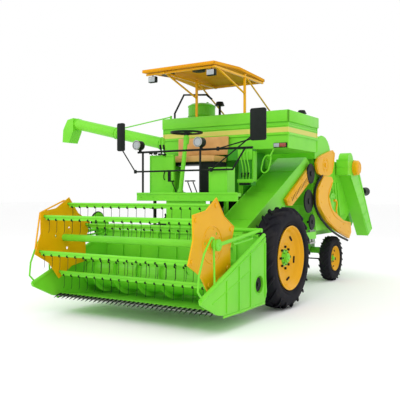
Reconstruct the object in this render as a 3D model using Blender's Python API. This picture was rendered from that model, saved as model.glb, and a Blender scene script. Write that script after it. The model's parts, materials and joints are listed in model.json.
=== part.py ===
"""Small combine harvester with an offset header, modelled in metres, +Z up, front towards -Y."""

import math

import bmesh
import bpy
from mathutils import Matrix, Vector

# Wheels. The front axle is at Y = 0 and the machine's middle plane at X = 0 before the final shift.
FRONT_R, FRONT_W, FRONT_RIM_R, FRONT_X = 0.775, 0.36, 0.49, 0.89
REAR_R, REAR_W, REAR_RIM_R, REAR_X = 0.45, 0.22, 0.25, 0.49
WHEELBASE = 3.3
KINGPIN_X = 0.31
# Header, whose middle is offset to the machine's right.
HEAD_X, HEAD_HALF = -0.40, 1.42
HEAD_BACK, HEAD_TIP, KNIFE_Y, KNIFE_Z = -0.98, -2.54, -2.06, 0.27
REEL_Y, REEL_Z, REEL_R = -2.06, 1.11, 0.50
REEL_PLATE_X = 1.27
BATS = 6
REEL_START = math.radians(80)
ARM_X, ARM_Y, ARM_Z = 1.353, -0.885, 1.235
SCREW_Y, SCREW_Z, SCREW_R = -1.34, 0.50, 0.19
# Inclined conveyor from the header up to the threshing body.
LIFT_Y, LIFT_Z = 1.75, 2.25
FEED_X0, FEED_X1, FEED_DEPTH = 0.03, 0.59, 0.36
FEED_SLOPE = math.radians(26.8)
FEED_LOW_Y, FEED_TOP_Z = -0.92, 1.08
EYE_Y, EYE_Z, BARREL_Y, BARREL_Z, CYL_X = -0.36, 0.935, 0.95, 1.00, (0.20, 0.42)
# Upper works.
FLOOR_Z, FLOOR_FRONT, FLOOR_R, FLOOR_L = 1.76, -0.80, -1.30, 0.55
BEAM_DEPTH, STRIP_L, STRIP_BACK = 0.12, 0.35, -0.45
RAIL_HEIGHT, RAIL_R = 0.66, 0.017
SEAT_R, SEAT_L = -1.20, -0.18
TANK = ((-1.55, 0.30, 2.48), (0.86, 1.55, 3.09))
TANK_WALL = 0.03
ROOF_Z = 3.76
SWING_X, SWING_Y = -1.74, 0.80
AUGER_END_X, AUGER_Z0, AUGER_Z1 = -4.15, 2.66, 3.22
DRUM_X, DRUM_Y, DRUM_R = -1.15, 0.95, 0.25
# Frame rails and the threshing body's half width.
RAIL_LOW, RAIL_HIGH, RAIL_X = 0.9304, 1.06, 0.655
BODY_X, BODY_TOP, BODY_LOW = 0.60, 2.40, 1.0603
# Play between pieces that touch.
GAP = 0.0003
# The model's origin ends at the middle of its bounding box, on the ground.
SHIFT = Vector((1.6750, -1.1781, 0.0))

for obj in list(bpy.data.objects):
    bpy.data.objects.remove(obj, do_unlink=True)
parts = bpy.data.collections.new("combine_harvester")
bpy.context.scene.collection.children.link(parts)
origin = bpy.data.objects.new("machine_origin", None)
parts.objects.link(origin)

MATERIALS = {
    "green": ((0.20, 0.72, 0.045), 0.35, 0.0),
    "dark_green": ((0.045, 0.32, 0.02), 0.4, 0.0),
    "amber": ((1.0, 0.46, 0.01), 0.35, 0.0),
    "black": ((0.012, 0.018, 0.014), 0.45, 0.0),
    "tyre": ((0.014, 0.014, 0.018), 0.8, 0.0),
    "steel": ((0.30, 0.30, 0.29), 0.4, 1.0),
    "tan": ((0.75, 0.38, 0.10), 0.7, 0.0),
}


def material(name):
    """The named Principled material, made once."""
    found = bpy.data.materials.get(name)
    if found:
        return found
    colour, rough, metal = MATERIALS[name]
    made = bpy.data.materials.new(name)
    made.use_nodes = True
    bsdf = made.node_tree.nodes["Principled BSDF"]
    bsdf.inputs["Base Color"].default_value = (*colour, 1)
    bsdf.inputs["Roughness"].default_value = rough
    bsdf.inputs["Metallic"].default_value = metal
    return made


def new_object(name, mesh):
    obj = bpy.data.objects.new(name, mesh)
    parts.objects.link(obj)
    return obj


def from_bmesh(bm):
    bmesh.ops.recalc_face_normals(bm, faces=bm.faces)
    mesh = bpy.data.meshes.new("shape")
    bm.to_mesh(mesh)
    bm.free()
    return new_object("shape", mesh)


def box(low, high):
    """A box between two corners."""
    bm = bmesh.new()
    size = Vector(high) - Vector(low)
    middle = (Vector(high) + Vector(low)) / 2
    bmesh.ops.create_cube(bm, matrix=Matrix.Translation(middle) @ Matrix.Diagonal((*size, 1)))
    return from_bmesh(bm)


def rod(start, end, radius, sides=12, end_radius=None):
    """A round bar, or a cone, between two points."""
    start, end = Vector(start), Vector(end)
    along = end - start
    turn = along.to_track_quat("Z", "Y").to_matrix().to_4x4()
    bm = bmesh.new()
    bmesh.ops.create_cone(
        bm,
        cap_ends=True,
        segments=sides,
        radius1=radius,
        radius2=radius if end_radius is None else end_radius,
        depth=along.length,
        matrix=Matrix.Translation((start + end) / 2) @ turn,
    )
    return from_bmesh(bm)


def plate(outline, low, high, axis="X"):
    """A flat outline given in the other two axes, from low to high along an axis."""
    curve = bpy.data.curves.new("outline", "CURVE")
    curve.dimensions = "2D"
    curve.fill_mode = "BOTH"
    curve.extrude = (high - low) / 2
    spline = curve.splines.new("POLY")
    spline.points.add(len(outline) - 1)
    for point, (a, b) in zip(spline.points, outline):
        point.co = (a, b, 0, 1)
    spline.use_cyclic_u = True
    middle = (low + high) / 2
    columns = {
        "X": ((0, 0, 1, middle), (1, 0, 0, 0), (0, 1, 0, 0), (0, 0, 0, 1)),
        "Y": ((1, 0, 0, 0), (0, 0, -1, middle), (0, 1, 0, 0), (0, 0, 0, 1)),
        "Z": ((1, 0, 0, 0), (0, 1, 0, 0), (0, 0, 1, middle), (0, 0, 0, 1)),
    }
    return meshed(curve, Matrix(columns[axis]))


def meshed(curve, place=None):
    """A curve made into a welded mesh object."""
    obj = new_object("curve", curve)
    if place is not None:
        obj.matrix_world = place
    bpy.context.view_layer.update()
    evaluated = obj.evaluated_get(bpy.context.evaluated_depsgraph_get())
    mesh = bpy.data.meshes.new_from_object(evaluated)
    mesh.transform(obj.matrix_world)
    bpy.data.objects.remove(obj)
    bm = bmesh.new()
    bm.from_mesh(mesh)
    bmesh.ops.remove_doubles(bm, verts=bm.verts, dist=0.00005)
    return from_bmesh(bm)


def pipe(points, radius, closed=False):
    """A bent tube through points."""
    curve = bpy.data.curves.new("route", "CURVE")
    curve.dimensions = "3D"
    curve.bevel_depth = radius
    curve.bevel_resolution = 2
    curve.use_fill_caps = not closed
    spline = curve.splines.new("POLY")
    spline.points.add(len(points) - 1)
    spline.use_cyclic_u = closed
    for point, place in zip(spline.points, points):
        point.co = (*place, 1)
    return meshed(curve)


def turned(profile, centre, steps=40):
    """A closed (x, radius) profile turned about an axis along X through centre."""
    bm = bmesh.new()
    verts = [bm.verts.new((x, r, 0)) for x, r in profile]
    edges = [bm.edges.new((verts[i - 1], verts[i])) for i in range(len(verts))]
    bmesh.ops.spin(
        bm,
        geom=verts + edges,
        cent=(0, 0, 0),
        axis=(1, 0, 0),
        angle=math.tau,
        steps=steps,
        use_merge=True,
    )
    bmesh.ops.remove_doubles(bm, verts=bm.verts, dist=0.00005)
    bmesh.ops.translate(bm, verts=bm.verts, vec=Vector(centre))
    return from_bmesh(bm)


def combine(target, others, operation="UNION"):
    """Boolean each of the others into target, and remove them."""
    for other in others:
        cut = target.modifiers.new("join", "BOOLEAN")
        cut.operation = operation
        cut.solver = "EXACT"
        cut.object = other
        bpy.context.view_layer.update()
        evaluated = target.evaluated_get(bpy.context.evaluated_depsgraph_get())
        mesh = bpy.data.meshes.new_from_object(evaluated)
        target.modifiers.clear()
        target.data = mesh
        bpy.data.objects.remove(other)
    return target


def node(name, paint, shapes, cuts=(), pivot=(0, 0, 0)):
    """One named piece made of shapes less cuts, with its origin on its pivot."""
    obj = combine(shapes[0], shapes[1:])
    obj = combine(obj, cuts, "DIFFERENCE")
    obj.name = name
    obj.data.name = name
    obj.data.materials.clear()
    obj.data.materials.append(material(paint))
    obj.data.shade_smooth()
    obj.data.set_sharp_from_angle(angle=math.radians(35))
    pivot = Vector(pivot)
    obj.data.transform(Matrix.Translation(-pivot))
    obj.location = pivot
    obj.parent = origin
    return obj


def ring(y, z, radius, count, start=0.0):
    """Points on a circle in the YZ plane."""
    angles = [start + math.tau * i / count for i in range(count)]
    return [(y + radius * math.cos(a), z + radius * math.sin(a)) for a in angles]


def wheel(name, side, x, y, radius, width, rim_r, hub_r, inner):
    """A tyre and its dished rim, with the hub reaching in to the axle's end."""
    half = width / 2
    tyre = [
        (-half * 0.72, rim_r + 0.006),
        (-half, rim_r + 0.30 * (radius - rim_r)),
        (-half * 0.98, radius - 0.30 * (radius - rim_r)),
        (-half * 0.80, radius - 0.04),
        (0, radius),
        (half * 0.80, radius - 0.04),
        (half * 0.98, radius - 0.30 * (radius - rim_r)),
        (half, rim_r + 0.30 * (radius - rim_r)),
        (half * 0.72, rim_r + 0.006),
    ]
    pivot = (side * x, y, radius)
    node(f"{name}_tyre", "tyre", [turned(tyre, pivot)], pivot=pivot)
    dish = half * 0.20
    rim = [
        (-half * 0.86, rim_r),
        (half * 0.86, rim_r),
        (half * 0.86, rim_r - 0.03),
        (dish + 0.10 * half, rim_r - 0.07),
        (dish - 0.10 * half, hub_r + 0.06),
        (dish + 0.10 * half, hub_r),
        (dish + 0.30 * half, hub_r * 0.8),
        (dish + 0.30 * half, 0.0),
        (-inner, 0.0),
        (-inner, hub_r * 0.6),
        (dish - 0.45 * half, hub_r * 0.6),
        (dish - 0.35 * half, rim_r - 0.08),
        (-half * 0.86, rim_r - 0.03),
    ]
    rim = [(side * a, b) for a, b in rim]
    node(f"{name}_rim", "amber", [turned(rim, pivot)], pivot=pivot)


def wheels():
    for side, label in ((1, "left"), (-1, "right")):
        wheel(f"front_{label}", side, FRONT_X, 0, FRONT_R, FRONT_W, FRONT_RIM_R, 0.13, FRONT_X - 0.70)
        wheel(f"rear_{label}", side, REAR_X, WHEELBASE, REAR_R, REAR_W, REAR_RIM_R, 0.07, 0.06)
        kingpin = (side * KINGPIN_X, WHEELBASE, REAR_R)
        arm_end = WHEELBASE + 0.18
        node(
            f"knuckle_{label}",
            "black",
            [
                rod((kingpin[0], WHEELBASE, 0.34), (kingpin[0], WHEELBASE, 0.70), 0.04, 16),
                rod(kingpin, (side * (REAR_X - 0.062), WHEELBASE, REAR_R), 0.028),
                box((kingpin[0] - 0.02, WHEELBASE, 0.36), (kingpin[0] + 0.02, arm_end, 0.385)),
            ],
            pivot=kingpin,
        )
    node(
        "tie_rod",
        "black",
        [rod((-KINGPIN_X, WHEELBASE + 0.16, 0.405), (KINGPIN_X, WHEELBASE + 0.16, 0.405), 0.014)],
        pivot=(0, WHEELBASE + 0.16, 0.405),
    )
    node(
        "rear_axle",
        "green",
        [
            box((-0.262, WHEELBASE - 0.05, 0.54), (0.262, WHEELBASE + 0.05, 0.66)),
            box((-0.09, WHEELBASE - 0.14, 0.58), (0.09, WHEELBASE + 0.14, 0.93)),
        ],
    )
    node(
        "front_axle",
        "dark_green",
        [
            rod((-0.69, 0, FRONT_R), (0.69, 0, FRONT_R), 0.085, 20),
            box((-0.24, -0.16, 0.66), (-0.02, 0.30, 0.92)),
            box((0.62, -0.10, 0.68), (0.685, 0.10, 0.93)),
            box((-0.685, -0.10, 0.68), (-0.62, 0.10, 0.93)),
        ],
    )


def frame():
    under_floor = FLOOR_Z - 0.05 - GAP
    under_tank = TANK[0][2] - GAP
    inside = RAIL_X - 0.01
    rails = [box((x, -0.12, RAIL_LOW), (x + 0.03, 2.05, RAIL_HIGH)) for x in (-RAIL_X, RAIL_X - 0.03)]
    rails.append(box((-inside, 1.10, 0.95), (inside, 1.18, 1.05)))
    rails.append(box((-inside, 1.90, 0.94), (inside, 2.06, RAIL_HIGH)))
    for x in (-0.30, 0.24):
        rails.append(box((x, 1.95, RAIL_LOW), (x + 0.06, 4.10, RAIL_HIGH)))
    rails.append(box((-0.30, WHEELBASE - 0.14, RAIL_LOW), (0.30, WHEELBASE + 0.14, 1.04)))
    for x in CYL_X:
        rails.append(box((x - 0.075, BARREL_Y + 0.05, 0.95), (x + 0.075, 1.15, 1.05)))
    for y in (0.42, 1.35):
        rails.append(box((-0.65, y, 0.95), (-0.04, y + 0.07, 1.05)))
        for x in (-RAIL_X, -0.095):
            rails.append(box((x, y, 1.0), (x + 0.055, y + 0.07, under_tank)))
    for x0, x1 in ((-RAIL_X, -0.60), (-0.07, -0.022)):
        rails.append(box((x0, -0.12, 1.0), (x1, -0.05, under_floor)))
    rails.append(box((-RAIL_X, -0.12, 0.96), (-0.022, -0.05, 1.04)))
    node("chassis_frame", "green", rails)
    engine = [
        box((-0.54, 0.30, 1.15), (-0.10, 1.05, 1.70)),
        box((-0.50, 0.50, 1.065), (-0.14, 1.0, 1.2)),
        box((-RAIL_X, 0.60, RAIL_HIGH + GAP), (-0.02, 0.90, 1.075)),
    ]
    node("engine_block", "black", engine)
    housing = [
        box((-0.62, 0.50, 1.74), (-0.04, 1.34, under_tank)),
        box((-0.13, 0.14, 2.30), (-0.10, 0.55, under_tank)),
        box((-0.13, 0.12, 2.30), (0.30, 0.29, under_tank)),
        box((0.08, 0.12, 1.89), (0.30, 0.29, 2.40)),
    ]
    node("service_housing", "dark_green", housing)


def body():
    side = [
        (1.98, 1.55),
        (2.10, 2.30),
        (2.05, BODY_TOP),
        (3.70, BODY_TOP),
        (4.30, 2.05),
        (4.30, 1.45),
        (3.60, BODY_LOW),
        (2.20, BODY_LOW),
    ]
    node("thresher_body", "green", [plate(side, -BODY_X, BODY_X)])
    seam = BODY_TOP + GAP
    angles = [math.pi * (1 - i / 10) for i in range(1, 10)]
    hood = [(2.39 + 0.43 * math.cos(a), 2.42 + 0.43 * math.sin(a)) for a in angles]
    node("thresher_hood", "green", [plate([(1.96, seam)] + hood + [(2.82, seam)], -0.58, 0.66)])
    rear = 4.30 + GAP
    straw = [(rear, 2.02), (4.70, 1.75), (4.72, 1.15), (4.60, 1.05), (rear, 1.42)]
    inside = [(4.25, 1.97), (4.67, 1.72), (4.69, 1.0), (4.3, 1.0), (4.25, 1.4)]
    node("straw_hood", "green", [plate(straw, -0.50, 0.50)], [plate(inside, -0.48, 0.48)])


def drives():
    cover = [
        (2.05, 2.14),
        (1.98, 2.22),
        (1.95, 2.32),
        (2.03, 2.41),
        (2.23, 2.48),
        (2.83, 2.61),
        (2.95, 2.55),
        (2.89, 2.32),
        (2.80, 2.16),
        (2.62, 2.10),
        (2.20, 2.10),
    ]
    node("drive_cover", "amber", [plate(cover, 0.66 + GAP, 0.70)])
    guard = [
        (2.29, 2.09),
        (2.00, 1.85),
        (1.95, 1.70),
        (2.00, 1.54),
        (2.46, 1.24),
        (3.10, 1.00),
        (3.77, 0.83),
        (3.90, 0.95),
        (3.87, 1.16),
        (3.40, 1.22),
        (2.75, 1.45),
        (2.56, 1.71),
        (2.80, 2.01),
        (2.70, 2.085),
    ]
    bracket = box((BODY_X + GAP, 2.2, 1.5), (0.67, 2.4, 1.7))
    node("belt_guard", "amber", [plate(guard, 0.66, 0.72), bracket])
    leg = [(3.40, 2.20), (4.02, 2.24), (4.98, 0.98), (4.66, 0.84)]
    head = box((0.62, 3.25, 2.13), (0.86, 3.80, 2.45))
    cap = rod((0.64, 3.48, 2.42), (0.84, 3.48, 2.42), 0.17, 20)
    node("grain_elevator", "green", [plate(leg, BODY_X + GAP, 0.85), head, cap])


def tank():
    low, high = TANK
    floor = low[2] + TANK_WALL
    inner_low = (low[0] + TANK_WALL, low[1] + TANK_WALL, floor)
    inner_high = (high[0] - TANK_WALL, high[1] - TANK_WALL, high[2] + 0.1)
    base = [rod((SWING_X, SWING_Y, 2.30), (SWING_X, SWING_Y, 2.53), 0.13, 24)]
    base.append(box((SWING_X, SWING_Y - 0.13, 2.30), (low[0] + 0.3, SWING_Y + 0.13, low[2] + 0.01)))
    node("grain_tank", "green", [box(low, high)] + base, [box(inner_low, inner_high)])
    drum = rod((DRUM_X, DRUM_Y, floor + GAP), (DRUM_X, DRUM_Y, 3.38), DRUM_R, 28)
    node("air_drum", "green", [drum])
    exhaust = [
        (-1.48, 0.55, floor + GAP),
        (-1.48, 0.55, 3.22),
        (-1.28, 0.55, 3.54),
        (-0.80, 0.55, 3.50),
        (-0.72, 0.60, 3.42),
    ]
    node("exhaust_pipe", "black", [pipe(exhaust, 0.018)])


def unloader():
    swing = (SWING_X, SWING_Y, AUGER_Z0)
    slope = (AUGER_Z1 - AUGER_Z0) / (AUGER_END_X - SWING_X)
    tube_start = (SWING_X + 0.02, SWING_Y, AUGER_Z0)
    spout = [(-4.12, 3.33), (-4.28, 3.30), (-4.40, 3.10), (-4.42, 2.84), (-4.24, 2.82), (-4.12, 3.06)]
    inside = [(-4.23, 3.22), (-4.33, 3.10), (-4.38, 2.9), (-4.38, 2.7), (-4.28, 2.7), (-4.20, 3.06)]
    stay_z = AUGER_Z0 + slope * (-3.00 - SWING_X) + 0.09
    shapes = [
        rod((SWING_X, SWING_Y, 2.535), (SWING_X, SWING_Y, AUGER_Z0 + 0.14), 0.12, 24),
        rod(tube_start, (AUGER_END_X, SWING_Y, AUGER_Z1), 0.11, 24),
        rod((SWING_X, SWING_Y, AUGER_Z0 + 0.10), (SWING_X, SWING_Y, 3.22), 0.02),
        rod((SWING_X, SWING_Y, 3.20), (-3.00, SWING_Y, stay_z), 0.012),
        plate(spout, SWING_Y - 0.13, SWING_Y + 0.13, "Y"),
    ]
    mouth = plate(inside, SWING_Y - 0.11, SWING_Y + 0.11, "Y")
    node("unloading_auger", "green", shapes, [mouth], pivot=swing)


def platform():
    front = FLOOR_FRONT
    beam_low = FLOOR_Z - BEAM_DEPTH
    deck = [
        box((FLOOR_R, front, FLOOR_Z - 0.05), (FLOOR_L, front + 0.10, FLOOR_Z)),
        box((FLOOR_R, front + 0.01, FLOOR_Z - 0.05), (STRIP_L, STRIP_BACK, FLOOR_Z)),
        box((FLOOR_R, front + 0.01, FLOOR_Z - 0.05), (-0.02, 0.42 - GAP, FLOOR_Z)),
        box((FLOOR_R, front, beam_low), (FLOOR_L, front + 0.02, FLOOR_Z)),
    ]
    node("platform_floor", "green", deck)
    panel = box((-0.74, -0.77, 1.22), (-0.02, -0.75, FLOOR_Z - 0.05 - GAP))
    node("front_panel", "green", [panel])
    pedestal = [
        box((-0.50, -0.18, FLOOR_Z + GAP), (-0.22, 0.24, 2.27)),
        box((-1.18, -0.18, 2.23), (-0.22, 0.20, 2.27)),
    ]
    node("seat_base", "black", pedestal)
    node("seat_cushion", "tan", [box((SEAT_R, -0.24, 2.275), (SEAT_L, 0.20, 2.39))])
    node("seat_backrest", "tan", [box((SEAT_R, 0.21, 2.40), (SEAT_L, 0.288, 2.72))])
    node("valve_box", "green", [box((0.02, -0.73, FLOOR_Z + GAP), (0.34, -0.50, 2.14))])


def railing():
    y = FLOOR_FRONT + 0.03
    top, middle = FLOOR_Z + RAIL_HEIGHT, FLOOR_Z + 0.35
    rails = [pipe([(FLOOR_R, y, top), (0.78, y, top)], RAIL_R)]
    rails.append(pipe([(FLOOR_R - 0.05, y, middle), (0.46, y, middle)], 0.014))
    rails.append(pipe([(0.45, y, middle), (0.66, y, top)], 0.014))
    for x in (FLOOR_R + 0.10, -0.11):
        rails.append(pipe([(x, y, FLOOR_Z + GAP), (x, y, top)], RAIL_R))
    for x in (FLOOR_R + 0.05, -0.09):
        rails.append(rod((x, y - 0.11, top + 0.11), (x, y + 0.02, top + 0.11), 0.075, 20))
        rails.append(box((x - 0.02, y - 0.02, top - 0.01), (x + 0.02, y + 0.01, top + 0.08)))
    node("platform_railing", "black", rails)
    ladder = []
    for stile_y in (-0.30, 0.10):
        ladder.append(box((FLOOR_R - 0.04, stile_y, 0.55), (FLOOR_R - GAP, stile_y + 0.04, FLOOR_Z)))
    for step in range(4):
        z = 0.60 + 0.30 * step
        ladder.append(box((FLOOR_R - 0.12, -0.30, z), (FLOOR_R - 0.002, 0.14, z + 0.03)))
    node("ladder", "black", ladder)


def controls():
    levers = [box((-1.25, -0.45, FLOOR_Z + GAP), (-1.04, 0.10, 2.22))]
    levers.append(box((-1.28, -0.47, FLOOR_Z + GAP), (-0.80, -0.43, 2.38)))
    for x in (-1.16, -1.09):
        levers.append(pipe([(x, -0.25, 2.20), (x - 0.01, -0.33, 2.62)], 0.009))
        levers.append(rod((x - 0.01, -0.33, 2.60), (x - 0.012, -0.34, 2.68), 0.022))
    node("control_console", "green", levers)
    x, y, z, radius = -0.63, -0.355, 2.745, 0.25

    def on_rim(angle):
        return (x + radius * math.cos(angle), y + radius * math.sin(angle), z)

    steering = [pipe([on_rim(math.tau * i / 28) for i in range(28)], 0.014, True)]
    steering.append(rod((x, y, z - 0.045), (x, y, z + 0.025), 0.045, 16))
    steering.append(rod((x - 0.01, -0.52, FLOOR_Z + 0.012), (x, y, z - 0.025), 0.03, 16))
    steering.append(box((x - 0.07, -0.58, FLOOR_Z + GAP), (x + 0.05, -0.46, FLOOR_Z + 0.02)))
    for k in range(3):
        steering.append(rod((x, y, z - 0.005), on_rim(math.tau * k / 3 + math.pi / 2), 0.010, 8))
    node("steering_wheel", "black", steering)


def roof():
    left, right, front, back, ridge = 0.10, -1.25, -0.72, 1.02, 0.10
    sheet = [
        (front, ROOF_Z - 0.05),
        (front, ROOF_Z),
        (ridge, ROOF_Z + 0.05),
        (back, ROOF_Z),
        (back, ROOF_Z - 0.05),
        (ridge, ROOF_Z + 0.01),
    ]
    node("canopy_roof", "amber", [plate(sheet, right, left)])
    post_y, fork_z, tank_top = 0.315, 3.41, TANK[1][2] + GAP
    bars = []
    for x in (-0.86, 0.08):
        low = (x - 0.02, post_y - 0.013, tank_top)
        bars.append(box(low, (x + 0.02, post_y + 0.013, ROOF_Z - 0.028)))
        bars.append(pipe([(x, post_y, fork_z), (x, front + 0.12, ROOF_Z - 0.075)], 0.016))
        bars.append(pipe([(x, 1.535, tank_top + 0.018), (x, post_y, ROOF_Z - 0.05)], 0.014))
        bars.append(box((x - 0.02, 1.522, tank_top), (x + 0.02, 1.548, tank_top + 0.02)))
        low = (x - 0.018, front + 0.04, ROOF_Z - 0.09)
        bars.append(box(low, (x + 0.018, back - 0.04, ROOF_Z - 0.06 - GAP)))
    for y in (front + 0.06, back - 0.10):
        bars.append(box((right + 0.03, y, ROOF_Z - 0.088), (left - 0.01, y + 0.03, ROOF_Z - 0.0605)))
    node("canopy_frame", "amber", bars)


def mirrors():
    y = FLOOR_FRONT + 0.03
    front, back = y - 0.08, y - 0.05
    top, middle = FLOOR_Z + RAIL_HEIGHT, FLOOR_Z + 0.35
    for label, x, half, low, stems in (
        ("right", -1.60, 0.075, top + 0.03, ((-1.33, middle, 0.05),)),
        ("left", 0.90, 0.125, top + 0.09, ((0.22, top, 0.05), (0.10, middle, 0.14))),
    ):
        arm = []
        for stem, rail_z, rise in stems:
            root_y = y - RAIL_R - 0.0173
            arm.append(pipe([(stem, root_y, rail_z), (x, y - 0.062, low + rise)], 0.010))
            low_corner = (stem - 0.02, y - 0.045, rail_z - 0.03)
            arm.append(box(low_corner, (stem + 0.02, y - 0.0175, rail_z + 0.03)))
        arm.append(box((x - half, front, low), (x + half, back, low + 0.46)))
        node(f"mirror_{label}", "black", arm)


def feeder_point(y, drop):
    """A point under the conveyor's top line, square to its slope."""
    z = FEED_TOP_Z + (y - FEED_LOW_Y) * math.tan(FEED_SLOPE)
    return (y + drop * math.sin(FEED_SLOPE), z - drop * math.cos(FEED_SLOPE))


def header():
    pivot = (0, LIFT_Y, LIFT_Z)
    casing = [
        feeder_point(FEED_LOW_Y, 0),
        feeder_point(1.72, 0),
        (LIFT_Y + 0.11, 2.34),
        (LIFT_Y + 0.15, 2.20),
        (LIFT_Y + 0.09, 2.08),
        feeder_point(1.60, FEED_DEPTH),
        feeder_point(FEED_LOW_Y - 0.05, FEED_DEPTH),
        (FEED_LOW_Y, 0.70),
    ]
    shapes = [plate(casing, FEED_X0, FEED_X1)]
    shapes.append(rod((CYL_X[0] - 0.09, EYE_Y, EYE_Z), (CYL_X[1] + 0.09, EYE_Y, EYE_Z), 0.016))
    lug = [(EYE_Y - 0.03, EYE_Z - 0.03), (EYE_Y + 0.03, EYE_Z - 0.03), (EYE_Y + 0.08, EYE_Z)]
    lug += [(EYE_Y + 0.06, 1.05), (EYE_Y - 0.03, 1.0)]
    for x in (CYL_X[0] - 0.08, CYL_X[1] + 0.06):
        shapes.append(plate(lug, x, x + 0.02))
    node("feeder_house", "green", shapes, pivot=pivot)
    right, left = HEAD_X - HEAD_HALF, HEAD_X + HEAD_HALF
    inner_right, inner_left = right + 0.0485, left - 0.0485
    trough = [
        (HEAD_BACK + 0.04, 1.18),
        (HEAD_BACK + 0.04, 0.30),
        (HEAD_BACK - 0.08, 0.18),
        (-1.50, 0.17),
        (KNIFE_Y + 0.04, KNIFE_Z - 0.03),
        (KNIFE_Y + 0.04, KNIFE_Z),
        (-1.50, 0.205),
        (HEAD_BACK - 0.10, 0.22),
        (HEAD_BACK, 0.33),
        (HEAD_BACK, 1.18),
    ]
    mouth = box((FEED_X0 + 0.02, -1.1, 0.60), (FEED_X1 - 0.02, -0.5, 0.98))
    node("header_table", "green", [plate(trough, inner_right, inner_left)], [mouth], pivot=pivot)
    bar_low = (inner_right, KNIFE_Y - 0.02, KNIFE_Z - 0.02)
    blade_low = (right + 0.06, KNIFE_Y - 0.09, KNIFE_Z - 0.012)
    knife = [
        box(bar_low, (inner_left, KNIFE_Y + 0.04 - GAP, KNIFE_Z + 0.005)),
        box(blade_low, (left - 0.06, KNIFE_Y - 0.01, KNIFE_Z - 0.002)),
    ]
    node("cutterbar", "steel", knife, pivot=pivot)
    panel = [
        (-0.83, 1.14),
        (-0.85, 0.80),
        (-0.80, 0.37),
        (-0.88, 0.20),
        (-1.82, 0.20),
        (-2.16, 0.26),
        (HEAD_TIP, 0.44),
        (HEAD_TIP - 0.02, 0.49),
        (-1.90, 0.76),
    ]
    hoop = [
        (-2.50, 0.50),
        (-2.60, 0.60),
        (-2.58, 0.78),
        (-2.46, 1.04),
        (-2.29, 1.22),
        (-2.245, 1.21),
        (-2.235, 1.05),
        (-2.22, 0.62),
    ]
    for label, x0, x1 in (("left", left - 0.04, left), ("right", right, right + 0.04)):
        x = (x0 + x1) / 2
        shapes = [plate(panel, x0, x1)]
        shapes.append(pipe([(x, HEAD_TIP, 0.49), (x, -0.85, 1.17)], 0.028))
        shapes.append(pipe([(x, y, z) for y, z in hoop], 0.013))
        window = rod((x0 - 0.1, -1.05, 0.50), (x1 + 0.1, -1.05, 0.50), 0.12, 28)
        node(f"divider_{label}", "green", shapes, [window], pivot=pivot)
    screw = rod((right + 0.05, SCREW_Y, SCREW_Z), (left - 0.05, SCREW_Y, SCREW_Z), SCREW_R, 28)
    node("header_auger", "green", [screw], pivot=(0, SCREW_Y, SCREW_Z))
    ends = [(HEAD_X + side * (ARM_X + 0.03), ARM_Y, ARM_Z) for side in (-1, 1)]
    arms = [rod(ends[0], ends[1], 0.03, 16)]
    for x in (HEAD_X - ARM_X, HEAD_X + ARM_X):
        arms.append(pipe([(x, ARM_Y, ARM_Z), (x, REEL_Y, REEL_Z)], 0.026))
        arms.append(rod((x - 0.02, REEL_Y, REEL_Z), (x + 0.02, REEL_Y, REEL_Z), 0.06, 20))
    node("reel_arms", "green", arms, pivot=(0, ARM_Y, ARM_Z))


def reel():
    centre = (HEAD_X, REEL_Y, REEL_Z)
    ends = [(HEAD_X + side * (REEL_PLATE_X + 0.05), REEL_Y, REEL_Z) for side in (-1, 1)]
    node("reel_shaft", "green", [rod(ends[0], ends[1], 0.05, 16)], pivot=centre)
    bat_places = ring(REEL_Y, REEL_Z, REEL_R, BATS, REEL_START)
    tips = ring(REEL_Y, REEL_Z, REEL_R + 0.10, BATS, REEL_START)
    waists = ring(REEL_Y, REEL_Z, REEL_R - 0.04, BATS, REEL_START + math.pi / BATS)
    hexagon = [point for pair in zip(tips, waists) for point in pair]
    holes = [(REEL_Y, REEL_Z, 0.0503)]
    holes += [(y, z, 0.022) for y, z in ring(REEL_Y, REEL_Z, 0.17, 3, 0.9)]
    holes += [(y, z, 0.024) for y, z in bat_places]
    for label, x in (("left", HEAD_X + REEL_PLATE_X), ("right", HEAD_X - REEL_PLATE_X)):
        cuts = [rod((x - 0.1, y, z), (x + 0.1, y, z), radius, 16) for y, z, radius in holes]
        node(f"reel_plate_{label}", "amber", [plate(hexagon, x - 0.006, x + 0.006)], cuts, pivot=centre)
    right, left = HEAD_X - REEL_PLATE_X, HEAD_X + REEL_PLATE_X
    for i, (y, z) in enumerate(bat_places):
        bar = [rod((right - 0.015, y, z), (left + 0.015, y, z), 0.018, 12)]
        bar.append(box((right + 0.03, y - 0.006, z - 0.05), (left - 0.03, y + 0.006, z)))
        node(f"reel_bat_{i + 1}", "green", bar, pivot=(HEAD_X, y, z))


def cylinders():
    along = Vector((0, EYE_Y - BARREL_Y, EYE_Z - BARREL_Z)).normalized()
    for label, x in (("right", CYL_X[0]), ("left", CYL_X[1])):
        base = Vector((x, BARREL_Y, BARREL_Z))
        eye = Vector((x, EYE_Y, EYE_Z))
        barrel = rod(base - 0.03 * along, base + 0.62 * along, 0.036, 16)
        bore = rod(base + 0.30 * along, base + 0.70 * along, 0.022, 16)
        node(f"lift_barrel_{label}", "black", [barrel], [bore], pivot=base)
        ram = rod(base + 0.46 * along, eye - 0.024 * along, 0.018, 12)
        node(f"lift_rod_{label}", "steel", [ram], pivot=eye)


wheels()
frame()
body()
drives()
tank()
unloader()
platform()
railing()
controls()
roof()
mirrors()
header()
reel()
cylinders()
origin.location = SHIFT
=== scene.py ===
"""Looks of the combine harvester: paint, rubber, tines, lugs, flights, ribs, lamps and seat."""

import contextlib
import json
import math

import bmesh
import bpy
from mathutils import Matrix, Vector

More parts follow.
